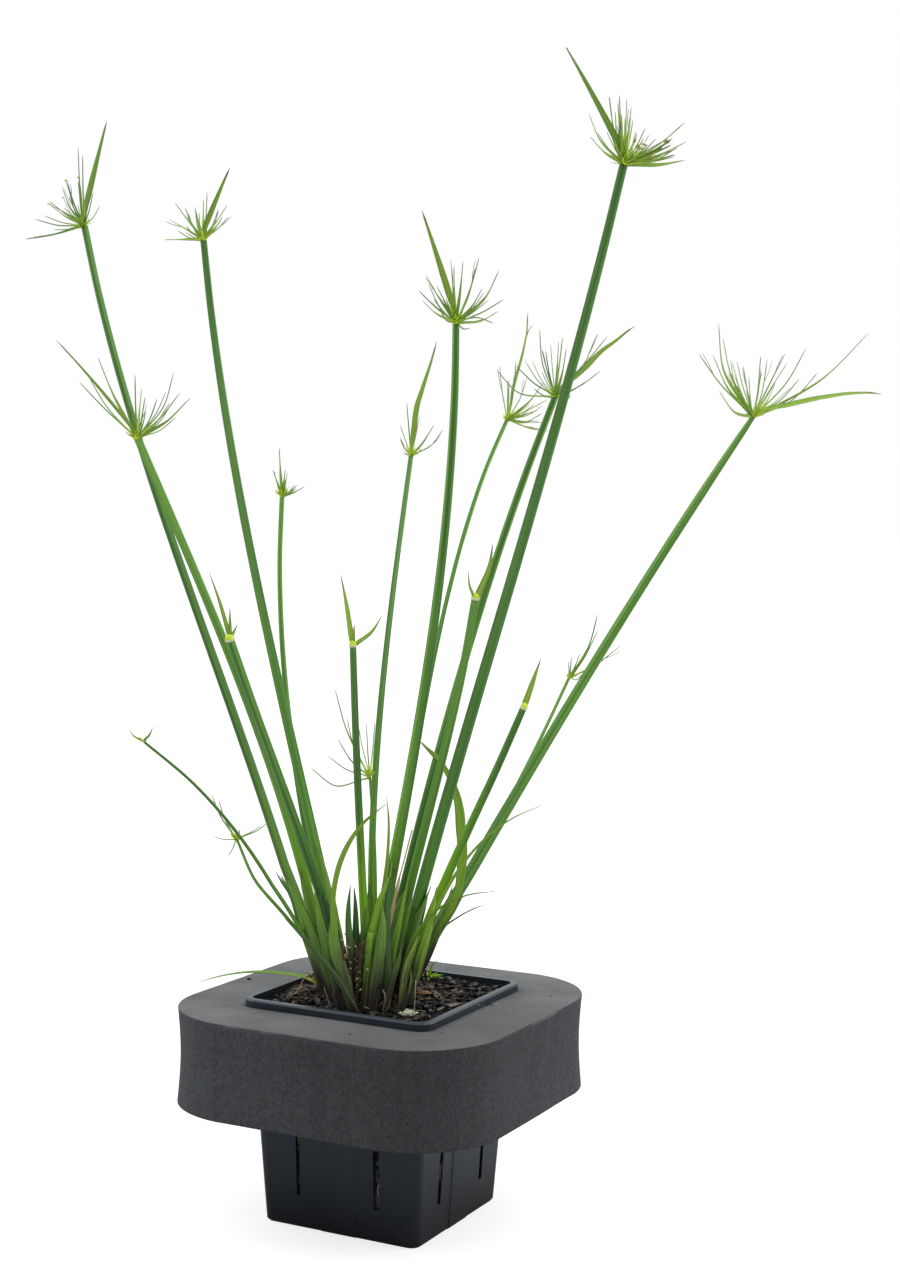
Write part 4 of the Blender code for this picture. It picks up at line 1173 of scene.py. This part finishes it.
# How light each long bract is, then its width and its length as shares of its solid.
bract_looks = {
    "01": (0.3, 0.95, 0.99), "02": (0.5, 0.66, 0.955), "04": (0.6, 0.9, 1), "10": (1.0, 0.86, 1),
    "11": (0.95, 0.82, 0.965), "13": (0.9, 0.82, 1), "15": (1.0, 0.84, 0.97), "17": (0.2, 1, 0.985),
    "18": (1.0, 1.3, 0.99),
}
bract_steps = 45
for number, (lightness, width, length) in bract_looks.items():
    node = "bract_" + number
    dice = np.random.default_rng(1300 + int(number))
    centre, axis = joints[number]
    middles, reaches = centreline(node, centre)
    low_start = stem_lines[number][-1] - axis * 1.0 * mm
    share = np.linspace(0, 1, bract_steps)
    line = smooth_line(np.vstack((low_start, middles)), bract_steps)
    bends = np.array(((0, 0, 0), *bract_bends.get(number, ()), (1, 0, 0)), float)
    line = line + across * np.interp(share, bends[:, 0], bends[:, 1])[:, None] * mm
    line = line + upward * np.interp(share, bends[:, 0], bends[:, 2])[:, None] * mm
    line = smooth_line(line[::4], bract_steps)
    line = line[0] + (line - line[0]) * length
    halves = evened(reaches, bract_steps) * width
    halves *= np.interp(share, (0, 0.08, 0.2, 0.93, 1), (0.75, 0.9, 1, 1, 0.25))
    if number == "17":
        halves = halves.max() * np.interp(share, (0, 0.1, 0.3, 0.7, 1), (0.6, 0.8, 0.7, 0.42, 0.12))
    facing = upward + toward * 0.5 if number == "18" else toward + upward * 0.4
    long_bract = Sheaf()
    long_bract.blade(line, halves, facing, 0.42, 0.4 * mm, lightness, twist=dice.normal(0, 0.3))
    if number == "13":
        fork_tip = line[-12] + (across * 4 + upward * 8) * mm
        fork = smooth_line([line[-12], line[-8] + across * 1.2 * mm, fork_tip], 9)
        long_bract.blade(fork, np.linspace(0.4, 0.1, 9) * mm, toward, 0.4, 0.3 * mm, 0.5, cross=5)
    made = long_bract.piece("long_bract_" + number, [bract_finish])
    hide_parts(node)
    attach(made, "root")

# Loose leaves. Eight soft leaves from the crown arch out between the stems, folded at the midrib,
# with tips that have dried and browned. One of them is dead and tan.
young_leaf = leaf_finish(
    "young leaf", (0.09, 0.23, 0.012), (0.25, 0.42, 0.03), (0.14, 0.08, 0.04), 0.93,
    edge=(0.2, 0.3, 0.05), stain_and_shade=0.8,
)
dark_leaf = leaf_finish(
    "dark leaf", (0.011, 0.046, 0.012), (0.07, 0.19, 0.03), (0.1, 0.1, 0.05), 0.92,
    edge=(0.05, 0.13, 0.04), stain_and_shade=0.5,
)
dead_leaf = leaf_finish(
    "dead leaf", (0.4, 0.27, 0.12), (0.72, 0.54, 0.3), (0.2, 0.13, 0.07), 2.0,
    edge=(0.3, 0.17, 0.08), stain_and_shade=0.8,
)
# The finish of each leaf, how light it is, and its width as a share of its solid.
leaf_looks = {
    "leaf_arched": (young_leaf, 0.68, 1.15), "leaf_tall_right": (young_leaf, 0.95, 1.15),
    "leaf_long_right": (young_leaf, 1.0, 0.7), "leaf_low_right": (young_leaf, 0.3, 1),
    "leaf_lowest_right": (dark_leaf, 0.5, 0.8), "leaf_upright": (young_leaf, 0.4, 1),
    "leaf_on_float": (bract_finish, 0.15, 1.0), "leaf_dead": (dead_leaf, 0.7, 1),
}
# Where three of them curve aside from their solids: heights in mm, then mm to the photograph's right.
leaf_curves = {
    "leaf_tall_right": ((120, 140, 150, 160, 172, 205, 225, 250), (-7, -6.2, -4.6, -2.2, -0.8, -3.5, -2, 0)),
    "leaf_dead": ((140, 155, 180, 190), (-1, -1.5, -1.5, -1)),
    "leaf_lowest_right": ((120, 145, 158), (-7, -6, 0)),
}
# Where two of them are narrower than their solids: heights in mm, then shares of the solid's width.
leaf_narrows = {
    "leaf_arched": ((135, 165, 180, 200), (0.35, 0.5, 0.66, 1)),
    "leaf_dead": ((150, 160, 178, 184), (0.6, 1, 1, 0.3)),
}
# Half the width of the tall right leaf at a few heights, all in mm.
tall_right_halves = ((150, 175, 190, 210, 220, 230, 243, 250), (1.4, 2.2, 2.7, 2.6, 2.1, 1.5, 1.2, 0.2))
leaf_steps = 60
for node, (finish, tint_value, width) in leaf_looks.items():
    points = node_points(node)
    far = np.linalg.norm(points[:, :2] - crown_middle, axis=1) + points[:, 2]
    start = points[far < far.min() + 2 * mm].mean(0)
    middles, reaches = centreline(node, start)
    middles[0][2] -= 3 * mm
    line = smooth_line(middles, leaf_steps)
    halves = evened(reaches, leaf_steps) * profile(leaf_steps, (0, 0.9, 1), (width, width, 0.3))
    heights, asides = leaf_curves.get(node, ((0, 1), (0, 0)))
    line = line + across * np.interp(line[:, 2] / mm, heights, asides)[:, None] * mm
    if node == "leaf_tall_right":
        halves = np.interp(line[:, 2] / mm, *tall_right_halves) * mm
    if node in leaf_narrows:
        halves *= np.interp(line[:, 2] / mm, *leaf_narrows[node])
    if node == "leaf_dead":
        halves = np.maximum(halves, 0.4 * mm)
    leaf = Sheaf()
    lies_flat = node == "leaf_on_float"
    facing = upward + toward * 0.8 if lies_flat else toward + upward * 0.2
    leaf.blade(line, halves, facing, 0.3, 0.45 * mm, tint_value, twist=0.0 if lies_flat else 0.3)
    made = leaf.piece(node.replace("leaf_", "blade_"), [finish])
    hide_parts(node)
    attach(made, "root")

# Short leaves. Young and torn leaves stand in and between the two fans of stems, keeled and pointed.
# Each row: how near the camera's side it stands, half its width in mm, its finish, its tint, and the
# places of its tip and on down toward its foot, in mm across and up.
short_leaf_rows = [
    (36, 2.9, 2, 0.55,
     ((-34.6, 176.9), (-33.5, 169.3), (-31.4, 158.6), (-28.3, 146.4), (-24.6, 132.6), (-20.7, 118.8))),
    (30, 3.6, 2, 0.95,
     ((-49.5, 183.8), (-46.9, 175.6), (-43.6, 168), (-39.2, 157.8), (-35, 146.5), (-30.3, 133.7),
      (-25.1, 118.3))),
    (39, 3.3, 2, 0.8,
     ((-24.6, 173), (-24.2, 163.9), (-24.6, 153.7), (-23, 143.5), (-20.4, 135.9), (-18.1, 128.3),
      (-16, 119.6))),
    (34.5, 3.4, 1, 0.0,
     ((-37.7, 195.9), (-36.1, 187.8), (-34, 179.7), (-31.4, 170.5), (-29.8, 162.9), (-27.9, 155.3),
      (-24.5, 139.9))),
    (32, 2.3, 1, 0.9, ((-16.7, 177.9), (-17.7, 167.7), (-17.7, 157.4), (-16.6, 144.6), (-14.4, 131.8))),
    (26, 2.1, 1, 0.6, ((-15.2, 176.3), (-14.3, 166.6), (-13.9, 153.7), (-13.5, 140.8), (-13.2, 130.5))),
    (38, 3.3, 2, 0.55, ((-0.4, 169.6), (0.2, 158.9), (-0.9, 146.1), (-2.5, 133.3), (-3.9, 120.5))),
    (33, 2.4, 1, 0.1, ((3.2, 192.1), (2.9, 178.4), (2, 165.6), (1.7, 150.2), (2.4, 132))),
    (37, 1.9, 2, 0.2, ((9.9, 148.6), (8, 139.9), (5, 130.7), (3.1, 121.4))),
    (30, 2.4, 0, 0.7, ((27.1, 177.6), (25.3, 166.3), (22.6, 152.4), (19.5, 139.5), (16.1, 126.6))),
    (39, 1.7, 0, 0.8, ((17.9, 154.2), (16, 147.6), (13.5, 141.4), (11.6, 134.3), (10.9, 128.6))),
    (40, 1.2, 2, 0.9, ((14.4, 137.6), (14.7, 131.5), (13.5, 125.3), (12.3, 120.7))),
    (28, 1.6, 0, 0.5, ((12.4, 180.1), (10, 167.3), (7.6, 154.4), (5.2, 141.5), (3.5, 125))),
    (33, 2.3, 0, 0.4, ((4.3, 190.1), (2.6, 180.9), (-1.6, 170.6), (-4.3, 160.4), (-6.2, 150.1))),
    (-8, 2.0, 1, 0.8,
     ((-58.1, 177.4), (-54.1, 170.6), (-49.8, 164.8), (-44.4, 149), (-37.4, 129), (-34.1, 117))),
    (2, 1.8, 2, 0.8, ((35.3, 173.6), (33, 165), (28.3, 149), (22, 133), (15.4, 120))),
    (26, 1.4, 1, 0.7, ((-1.4, 175.5), (-0.3, 168), (-1.6, 149), (-4.4, 125))),
    (28, 1.5, 0, 0.5, ((21.3, 155), (14.9, 142), (11, 126.5), (10.1, 119))),
    (38, 1.2, 2, 0.3, ((-23.8, 128), (-24.3, 122), (-23.2, 118))),
    (41, 1.5, 1, 0.1,
     ((-49, 161.9), (-42.1, 154.9), (-35.3, 147.4), (-29.9, 140.8), (-24.1, 133.8), (-19, 126.2),
      (-15.4, 120.1))),
    (20, 2.0, 0, 0.6, ((-47.7, 171), (-43, 160), (-38.2, 144), (-33.5, 129))),
    (10, 2.0, 0, 0.9, ((-26.7, 172), (-24.9, 158), (-22.2, 142))),
    (-24, 2.6, 2, 0.5, ((-12, 160), (-11, 146), (-9, 132), (-7, 120))),
    (-20, 2.8, 2, 0.3, ((22, 162), (17, 147), (12, 133), (8, 120))),
]
root_level = 113
short_leaves = Sheaf()
for near, half_width, finish, tint_value, places in short_leaf_rows:
    dice = np.random.default_rng(int(near * 10 + half_width * 100 + places[0][1]) + 4000)
    lowest, above = np.array(places[-1], float), np.array(places[-2], float)
    foot = lowest + (lowest - above) * (lowest[1] - root_level) / (above[1] - lowest[1])
    route = [from_view(right, near, up) for right, up in ((foot[0], root_level), *places[::-1])]
    halves = half_width * mm * profile(22, (0, 0.3, 0.6, 0.82, 1), (0.8, 1, 0.9, 0.55, 0.06))
    facing = toward + across * dice.normal(0, 0.2)
    short_leaves.blade(smooth_line(route, 22), halves, facing, -0.35, 0.35 * mm, tint_value,
                       twist=dice.normal(0, 0.2), cross=9, finish=finish)
made = short_leaves.piece("short_leaves", [young_leaf, dark_leaf, sheath_finish, dead_leaf])
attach(made, "root")

# Crown. The short woody rhizome at the soil, hidden by torn sheath bases, dead brown leaf scraps and
# a felt of fine fibres that the old leaves left behind.
scrap_finish = leaf_finish(
    "dead sheath scrap", (0.012, 0.006, 0.005), (0.15, 0.06, 0.024), (0.2, 0.11, 0.06), 0.88,
    edge=(0.16, 0.09, 0.045), stain_and_shade=0.9, dry=0.2,
)
rhizome_rings = []
rhizome_round = 90
turn = np.linspace(0, 2 * pi, rhizome_round, endpoint=False)
for share in (1.0, 0.96, 0.9, 0.8, 0.68, 0.55, 0.42, 0.3, 0.18, 0.07):
    x = crown_middle[0] + crown_radius * share * np.cos(turn)
    y = crown_middle[1] + crown_radius * share * np.sin(turn)
    rhizome_rings.append(np.column_stack((x, y, soil_height(x, y) - (2.5 * mm if share == 1 else 0))))
rhizome_points = np.vstack(rhizome_rings)
rhizome_bumps = lumps(rhizome_points, 4 * mm, 11) * 0.9 + lumps(rhizome_points, 11 * mm, 12) * 0.8
rhizome_points[:, 2] += rhizome_bumps * mm
crown_mound = new_piece("crown_mound", rhizome_points, loft_faces(len(rhizome_rings), rhizome_round), [bark])
mark_points(crown_mound, {"tint": np.full(len(rhizome_points), 0.45), "skin": rhizome_points * 70})
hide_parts("crown")
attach(crown_mound, "root")

dice = np.random.default_rng(41)
scraps = Sheaf()
feet = np.array([stem_lines[number][0] for number in stem_numbers])
for i in range(54):
    foot = feet[i % len(feet)] + np.append(dice.normal(0, 3.2, 2), 0) * mm
    foot[2] = soil_top - 1.5 * mm
    away = foot[:2] - crown_middle
    away = np.append(away / max(np.linalg.norm(away), mm), 0)
    height_mm = dice.uniform(7, 22)
    lean = dice.uniform(0.1, 0.75)
    route = [foot, foot + (upward + away * lean * 0.5) * height_mm * 0.5 * mm,
             foot + (upward + away * lean + dice.normal(0, 0.15, 3)) * height_mm * mm]
    halves = dice.uniform(0.8, 2.0) * mm * profile(14, (0, 0.5, 1), (1, 0.8, 0.1))
    scraps.blade(smooth_line(route, 14), halves, away + upward * 0.1, -0.5, 0.3 * mm, dice.random(),
                 twist=dice.normal(0, 0.8))
# Two dead stem bases: foot and top in mm across, toward the camera and up.
old_bases = (((-16.2, 33, 112), (-19.4, 34, 150)), ((-12.8, 33, 112), (-11.2, 34, 150)))
for old_foot, old_top in old_bases:
    low, high = from_view(*old_foot), from_view(*old_top)
    for i in range(34):
        turn = i * leaf_turn
        ring = (across * cos(turn) + toward * sin(turn)) * mm
        reach = dice.uniform(0.4, 2.2)
        top_share = dice.uniform(0.55, 1.0)
        spread = ring * (reach + dice.uniform(-0.6, 1.6))
        top = low + (high - low) * top_share + spread + dice.normal(0, 0.7, 3) * mm
        route = [low + ring * reach * 1.2, (low + top) / 2 + ring * dice.uniform(0, 1.2), top]
        halves = dice.uniform(0.6, 1.6) * mm * profile(12, (0, 0.7, 1), (1, 0.8, 0.25))
        scraps.blade(smooth_line(route, 12), halves, ring / mm + upward * 0.1, -0.4, 0.35 * mm,
                     dice.random() ** 2, twist=dice.normal(0, 0.7))
    for _ in range(46):
        spot = low + (high - low) * dice.uniform(0.3, 1.02) + toward * 2 * mm + dice.normal(0, 1.7, 3) * mm
        way = unit(dice.normal(0, 1, 3))
        fleck = spot + way * np.linspace(-0.8, 0.8, 5)[:, None] * mm * dice.uniform(0.5, 1.4)
        radii = 0.42 * mm * np.array((0.3, 0.9, 1, 0.8, 0.3))
        scraps.strand(fleck, radii, 5, dice.choice((0.05, 0.95)), finish=1,
                      facing=np.cross(way, (0.4, 0.3, 0.9)))
for i in range(260):
    foot = feet[i % len(feet)] + np.append(dice.normal(0, 4, 2), 0) * mm
    foot[2] = soil_top - 1.0 * mm
    away = unit(np.append(dice.normal(0, 1, 2), 0))
    length = dice.uniform(5, 16) * mm
    rise = dice.uniform(0.15, 1.1)
    route = [foot, foot + (away * cos(rise) + upward * sin(rise)) * length * 0.5,
             foot + (away + upward * sin(rise) * 0.7 + dice.normal(0, 0.2, 3)) * length]
    radius = dice.uniform(0.1, 0.22) * mm
    radii = np.linspace(radius, radius * 0.4, 8)
    scraps.strand(smooth_line(route, 8), radii, 4, dice.random() * 0.8, finish=1,
                  facing=np.cross(away, upward))
crown_scraps = scraps.piece("crown_scraps", [scrap_finish, fibre])
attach(crown_scraps, "root")

# Roots. A few have grown out through the slits in the pot's walls and hang in them, cream or
# orange-brown and damp. They are still joined to the plant inside.
root_finish, tree, shader = new_material("damp root")
streak = noise(tree, read_mark(tree, "skin", "Vector"), 3.0, 4.0)
cream = mix_colours(tree, streak, (0.3, 0.24, 0.15), (0.62, 0.55, 0.4))
rusty = mix_colours(tree, streak, (0.12, 0.05, 0.02), (0.34, 0.16, 0.07))
feed(tree, shader, {
    "Base Color": mix_colours(tree, ramp_share(tree, read_mark(tree, "tint"), 0.4, 0.6), cream, rusty),
    "Roughness": 0.45,
    "Normal": bump(tree, streak, 0.1, 0.5),
})
slit_from_middle = 23 * mm


def wall_half(z):
    """Half the pot's outside width at one height."""
    pot_low, pot_high = node_points("pot")[:, 2].min(), mix_high.z
    return (45 + 6.6 * (z - pot_low) / (pot_high - pot_low)) * mm


roots = Sheaf()
# Each row: wall (0 for -Y, 1 for +X), which slit, tint, radius, then how far aside and how high each
# place is, all in mm.
root_rows = [
    (0, -1, 0.0, 0.36, ((-0.5, 61), (0.7, 57), (0.1, 54), (-0.8, 56.5), (-0.2, 60))),
    (0, -1, 0.1, 0.2, ((0.3, 53), (-0.2, 49), (0.3, 44))),
    (0, 1, 0.2, 0.2, ((1.0, 30), (0.2, 27), (0.6, 24))),
    (0, 1, 0.5, 0.16, ((-1.4, 52), (-0.9, 49), (-1.5, 46.5))),
    (1, 1, 0.8, 0.6, ((0.5, 62), (-0.3, 57), (0.4, 52), (-0.1, 47), (0.2, 43))),
    (1, 1, 0.7, 0.35, ((-0.5, 60), (0.3, 54), (-0.4, 50))),
    (1, -1, 0.75, 0.25, ((0.4, 38), (-0.3, 33), (0.3, 29))),
]
for wall, slit, tint_value, radius, places in root_rows:
    wall_out = np.array(((0, -1.0, 0), (1.0, 0, 0))[wall])
    wall_along = np.array(((1.0, 0, 0), (0, 1.0, 0))[wall])
    sunk = (0.9 - 0.6 * wall) * mm
    route = [wall_out * (wall_half(up * mm) - sunk) + wall_along * (slit * slit_from_middle + aside * mm)
             + upward * up * mm for aside, up in places]
    line = smooth_line(route, 22)
    roots.strand(line, np.linspace(radius, radius * 0.6, 22) * mm, 6, tint_value, facing=wall_out)
slit_roots = roots.piece("slit_roots", [root_finish])
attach(slit_roots, "root")

# Litter on the mulch. Dead leaf ends, roots and curled bark that lie where they fell: a yellow leaf
# end and tan roots at the left, a curled orange-brown piece and a thin pale stalk at the right.
litter = Sheaf()
# Each row: finish, tint, half a leaf's width or else 0 and a strand's radius, and its places across,
# toward the camera and up, all in mm.
litter_rows = [
    (0, 0.9, 1.1, 0.3, ((-42.3, -12, 119.8), (-38.1, -12, 118.4), (-33.4, -12, 115.2))),
    (2, 0.2, 1.6, 0.3, ((-42.5, -15, 120.2), (-38.5, -15, 117.4), (-35, -15, 114))),
    (1, 1.0, 0.0, 0.3,
     ((-44.6, 0, 114), (-42.9, 0, 120.6), (-40.0, 0, 123.8), (-35.8, 0, 125.5), (-31, 0, 123.9))),
    (1, 1.0, 0.0, 0.34, ((-41.8, 2, 126.5), (-38.3, 2, 125.0), (-36.6, 2, 121.0), (-35.6, 2, 114))),
    (1, 0.95, 0.0, 0.28, ((-47.7, 6, 114.2), (-43.1, 6, 118.7), (-39.5, 6, 117.7), (-35.4, 6, 114.0))),
    (1, 0.8, 0.0, 0.26, ((-50.6, 10, 114.5), (-45.4, 10, 116.7), (-40.3, 10, 118.7), (-34.1, 10, 115.6))),
    (1, 0.9, 0.0, 0.28, ((-41.6, 6, 127.2), (-37.5, 6, 125.1), (-34.3, 6, 122.0), (-31.2, 6, 115.9))),
    (1, 0.5, 0.0, 0.25, ((-52, -2, 114.2), (-46, -4, 117.6), (-36, -5, 115.0))),
    (1, 0.8, 0.0, 0.2, ((-29, 41, 127.3), (-27.9, 41, 123.8), (-25.8, 41, 118))),
    (2, 0.5, 2.2, 0.3, ((16.2, 6, 116.8), (21.6, 6, 117.8), (28.9, 7, 114.2))),
    (3, 0.0, 1.6, 0.3, ((17, 10, 114.2), (24, 10, 114.8), (30, 9, 114.0))),
    (4, 0.1, 0.0, 0.2, ((17.1, 36, 130.5), (16.8, 36.5, 124.5), (16.5, 37, 113.5))),
    (1, 0.85, 0.0, 0.8, ((-29.5, 5, 118.5), (-28.0, 6, 116), (-26.5, 7, 112.5))),
    (3, 0.6, 1.3, 0.3, ((27, 35, 114.8), (33, 28, 115.6), (41, 20, 115.2))),
    (3, 0.3, 1.1, 0.3, ((-30, 26, 114.6), (-24, 31, 115.2), (-17, 35, 114.6))),
    (1, 0.3, 0.0, 0.3, ((-36, 18, 114.6), (-28, 22, 116.4), (-21, 27, 114.6))),
    (3, 1.0, 1.3, 0.3, ((0.4, 43, 127.2), (2.2, 43, 123.6), (1.0, 42, 114.0))),
    (3, 0.3, 1.6, 0.3, ((4.5, 42, 122.0), (3.0, 42, 118.0), (1.5, 41, 113.5))),
]
for finish, tint_value, half_width, thick, places in litter_rows:
    line = smooth_line([from_view(*place) for place in places], 16)
    if half_width:
        halves = half_width * mm * profile(16, (0, 0.3, 0.7, 1), (0.35, 1, 0.9, 0.15))
        litter.blade(line, halves, upward, -0.5, 0.4 * mm, tint_value, twist=0.9, finish=finish)
    else:
        litter.strand(line, np.linspace(thick, thick * 0.6, 16) * mm, 6, tint_value, finish=finish,
                      facing=toward)
orange_bark = leaf_finish(
    "orange bark", (0.07, 0.03, 0.01), (0.24, 0.12, 0.035), (0.12, 0.05, 0.02), 0.85,
    edge=(0.26, 0.17, 0.06), dry=0.2,
)
brown_bark = leaf_finish(
    "brown bark", (0.035, 0.022, 0.014), (0.13, 0.09, 0.06), (0.1, 0.07, 0.05), 0.85,
    edge=(0.16, 0.1, 0.06), dry=0.2,
)
yellow_leaf = leaf_finish(
    "yellow leaf end", (0.42, 0.34, 0.03), (0.7, 0.6, 0.08), (0.3, 0.2, 0.06), 0.8, edge=(0.4, 0.3, 0.1)
)
mulch_litter = litter.piece("mulch_litter", [yellow_leaf, fibre, orange_bark, brown_bark, root_finish])
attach(mulch_litter, "root")

# Small things. A stem cut off short, a self-sown seedling, a flake of pale bark and the crumbs that
# fell on the float and the rim.
stub_low, stub_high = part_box("cut_stub")
stub_middle = np.array((stub_low + stub_high) / 2)
stub_reach = (stub_high.x - stub_low.x) / 2
stub_steps = 14
stub_lean = across * -3.4 * mm
stub_line = np.column_stack(
    (np.full(stub_steps, stub_middle[0]), np.full(stub_steps, stub_middle[1]),
     np.linspace(stub_low.z - 3 * mm, stub_high.z, stub_steps))
) + np.linspace(1, 0, stub_steps)[:, None] * stub_lean
stub = Sheaf()
stub_radii = np.linspace(stub_reach * 0.95, stub_reach * 0.58, stub_steps)
stub.strand(stub_line, stub_radii, 20, 0.9, facing=toward, ribs=0.06)
cut_stub = stub.piece("cut_stem", [stem_finish])
stub_count = len(cut_stub.data.vertices)
mark_points(cut_stub, {"flush": np.full(stub_count, 0.6), "lightness": np.full(stub_count, 0.7)})
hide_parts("cut_stub")
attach(cut_stub, "root")

seed_low, seed_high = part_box("seedling")
seed_middle = np.array((seed_low + seed_high) / 2)
seed_middle[2] = seed_low.z + 0.5 * mm
dice = np.random.default_rng(77)
rosette = Sheaf()
# Each row: way it leans in degrees from the camera's side to the right, rise in degrees, length in mm.
seedling_leaves = (
    (85, 66, 14.5), (70, 30, 9), (110, 42, 8), (-80, 48, 7), (20, 60, 6), (-30, 35, 6), (180, 50, 7),
    (-120, 40, 7), (5, 20, 12), (50, 22, 11), (100, 26, 10),
)
for turn, rise_degrees, length_mm in seedling_leaves:
    level = spread_directions(turn)
    rise = radians(rise_degrees)
    tip = seed_middle + (level * cos(rise) + upward * sin(rise)) * length_mm * mm
    arch = (upward * 0.16 - level * 0.05) * length_mm * mm
    route = [seed_middle - upward * 1 * mm, (seed_middle + tip) / 2 + arch, tip]
    halves = dice.uniform(0.75, 1.0) * mm * profile(14, (0, 0.3, 1), (0.7, 1, 0.08))
    rosette.blade(smooth_line(route, 14), halves, toward + upward * 0.6, 0.4, 0.25 * mm, dice.random())
seedling_finish = leaf_finish(
    "seedling leaf", (0.18, 0.4, 0.012), (0.36, 0.62, 0.03), (0.25, 0.4, 0.03), 0.95
)
seedling = rosette.piece("seedling_leaves", [seedling_finish])
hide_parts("seedling")
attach(seedling, "root")

pale_bark, tree, shader = new_material("pale bark flake")
flake_grain = noise(tree, read_mark(tree, "skin", "Vector"), 3.0, 6.0, 0.7)
flake_mix = ramp_share(tree, flake_grain, 0.35, 0.65)
feed(tree, shader, {
    "Base Color": mix_colours(tree, flake_mix, (0.22, 0.24, 0.14), (0.5, 0.52, 0.4)),
    "Roughness": 0.85,
    "Normal": bump(tree, flake_grain, 0.3, 0.8),
})
flake_low, flake_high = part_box("pale_chip")
flake_middle = np.array((flake_low + flake_high) / 2)
# Each row: a flake's place from the middle in mm across, toward the camera and up, and its length.
flake_rows = (
    (-2.6, 3.0, 1.0, 5.5), (-0.2, 2.4, 1.5, 6.5), (2.0, 2.0, 1.4, 5.5), (-3.8, 3.8, 0.6, 4), (3.4, 3, 0.7, 4),
    (0.4, 4.0, 0.8, 4.5), (-1.4, 1.4, 1.8, 4),
)
flake_places = np.array([flake_middle + from_view(*row[:3]) for row in flake_rows])
flake_lengths = np.array([row[3] for row in flake_rows]) * mm
flake_points, flake_faces, flake_skin = bark_chips(dice, flake_places, flake_lengths, 0.3, 11, 12, (0.4, 0.6))
flakes = new_piece("pale_flakes", flake_points, flake_faces, [pale_bark], sharp=38)
mark_points(flakes, {"skin": flake_skin, "tint": np.zeros(len(flake_points))})
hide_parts("pale_chip")
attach(flakes, "root")

# Places across, toward the camera and up from the float in mm, and how long each crumb is. The last
# pale one lies on the pot's rim.
pale_crumbs = (
    (-70.8, 27.9, 1.3), (-81.6, 45.0, 0.9), (-35.2, 75.8, 0.8), (57.9, 13.3, 1.2), (58.6, 11.2, 0.9),
    (60.4, 12.2, 0.7), (86.5, -11.2, 1.0), (62.5, 14.5, 0.6), (-12.0, 70.0, 0.6),
)
dark_crumbs = (
    (53.6, 14.2, 2.0), (55.4, 13.2, 1.7), (56.2, 15.2, 1.2), (-74.2, -36.5, 2.4), (-14.1, 77.0, 1.4),
    (87.4, -7.9, 1.2), (66.8, 25.0, 0.8), (-60.0, 52.0, 0.7), (30.0, 72.0, 0.8),
)
rim_crumb_place, rim_crumb_length = np.array((54.9, 0.8, 115.4)) * mm, 1.3
for name, rows, finish, slot_name in (
    ("pale_crumbs", pale_crumbs, pale_bark, "chip_pale"), ("dark_crumbs", dark_crumbs, bark, "wet_bark")
):
    places = [from_view(right, near, float_high.z / mm + length * 0.1) for right, near, length in rows]
    lengths = [row[2] for row in rows]
    if name == "pale_crumbs":
        places.append(rim_crumb_place)
        lengths.append(rim_crumb_length)
    places, lengths = np.array(places), np.array(lengths) * mm
    spots, spot_faces, spot_skin = bark_chips(dice, places, lengths, 0.2, 5, 7, (0.35, 0.5))
    made = new_piece(name, spots, spot_faces, [finish], sharp=38)
    mark_points(made, {"skin": spot_skin, "tint": np.full(len(spots), 0.4)})
    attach(made, "root")
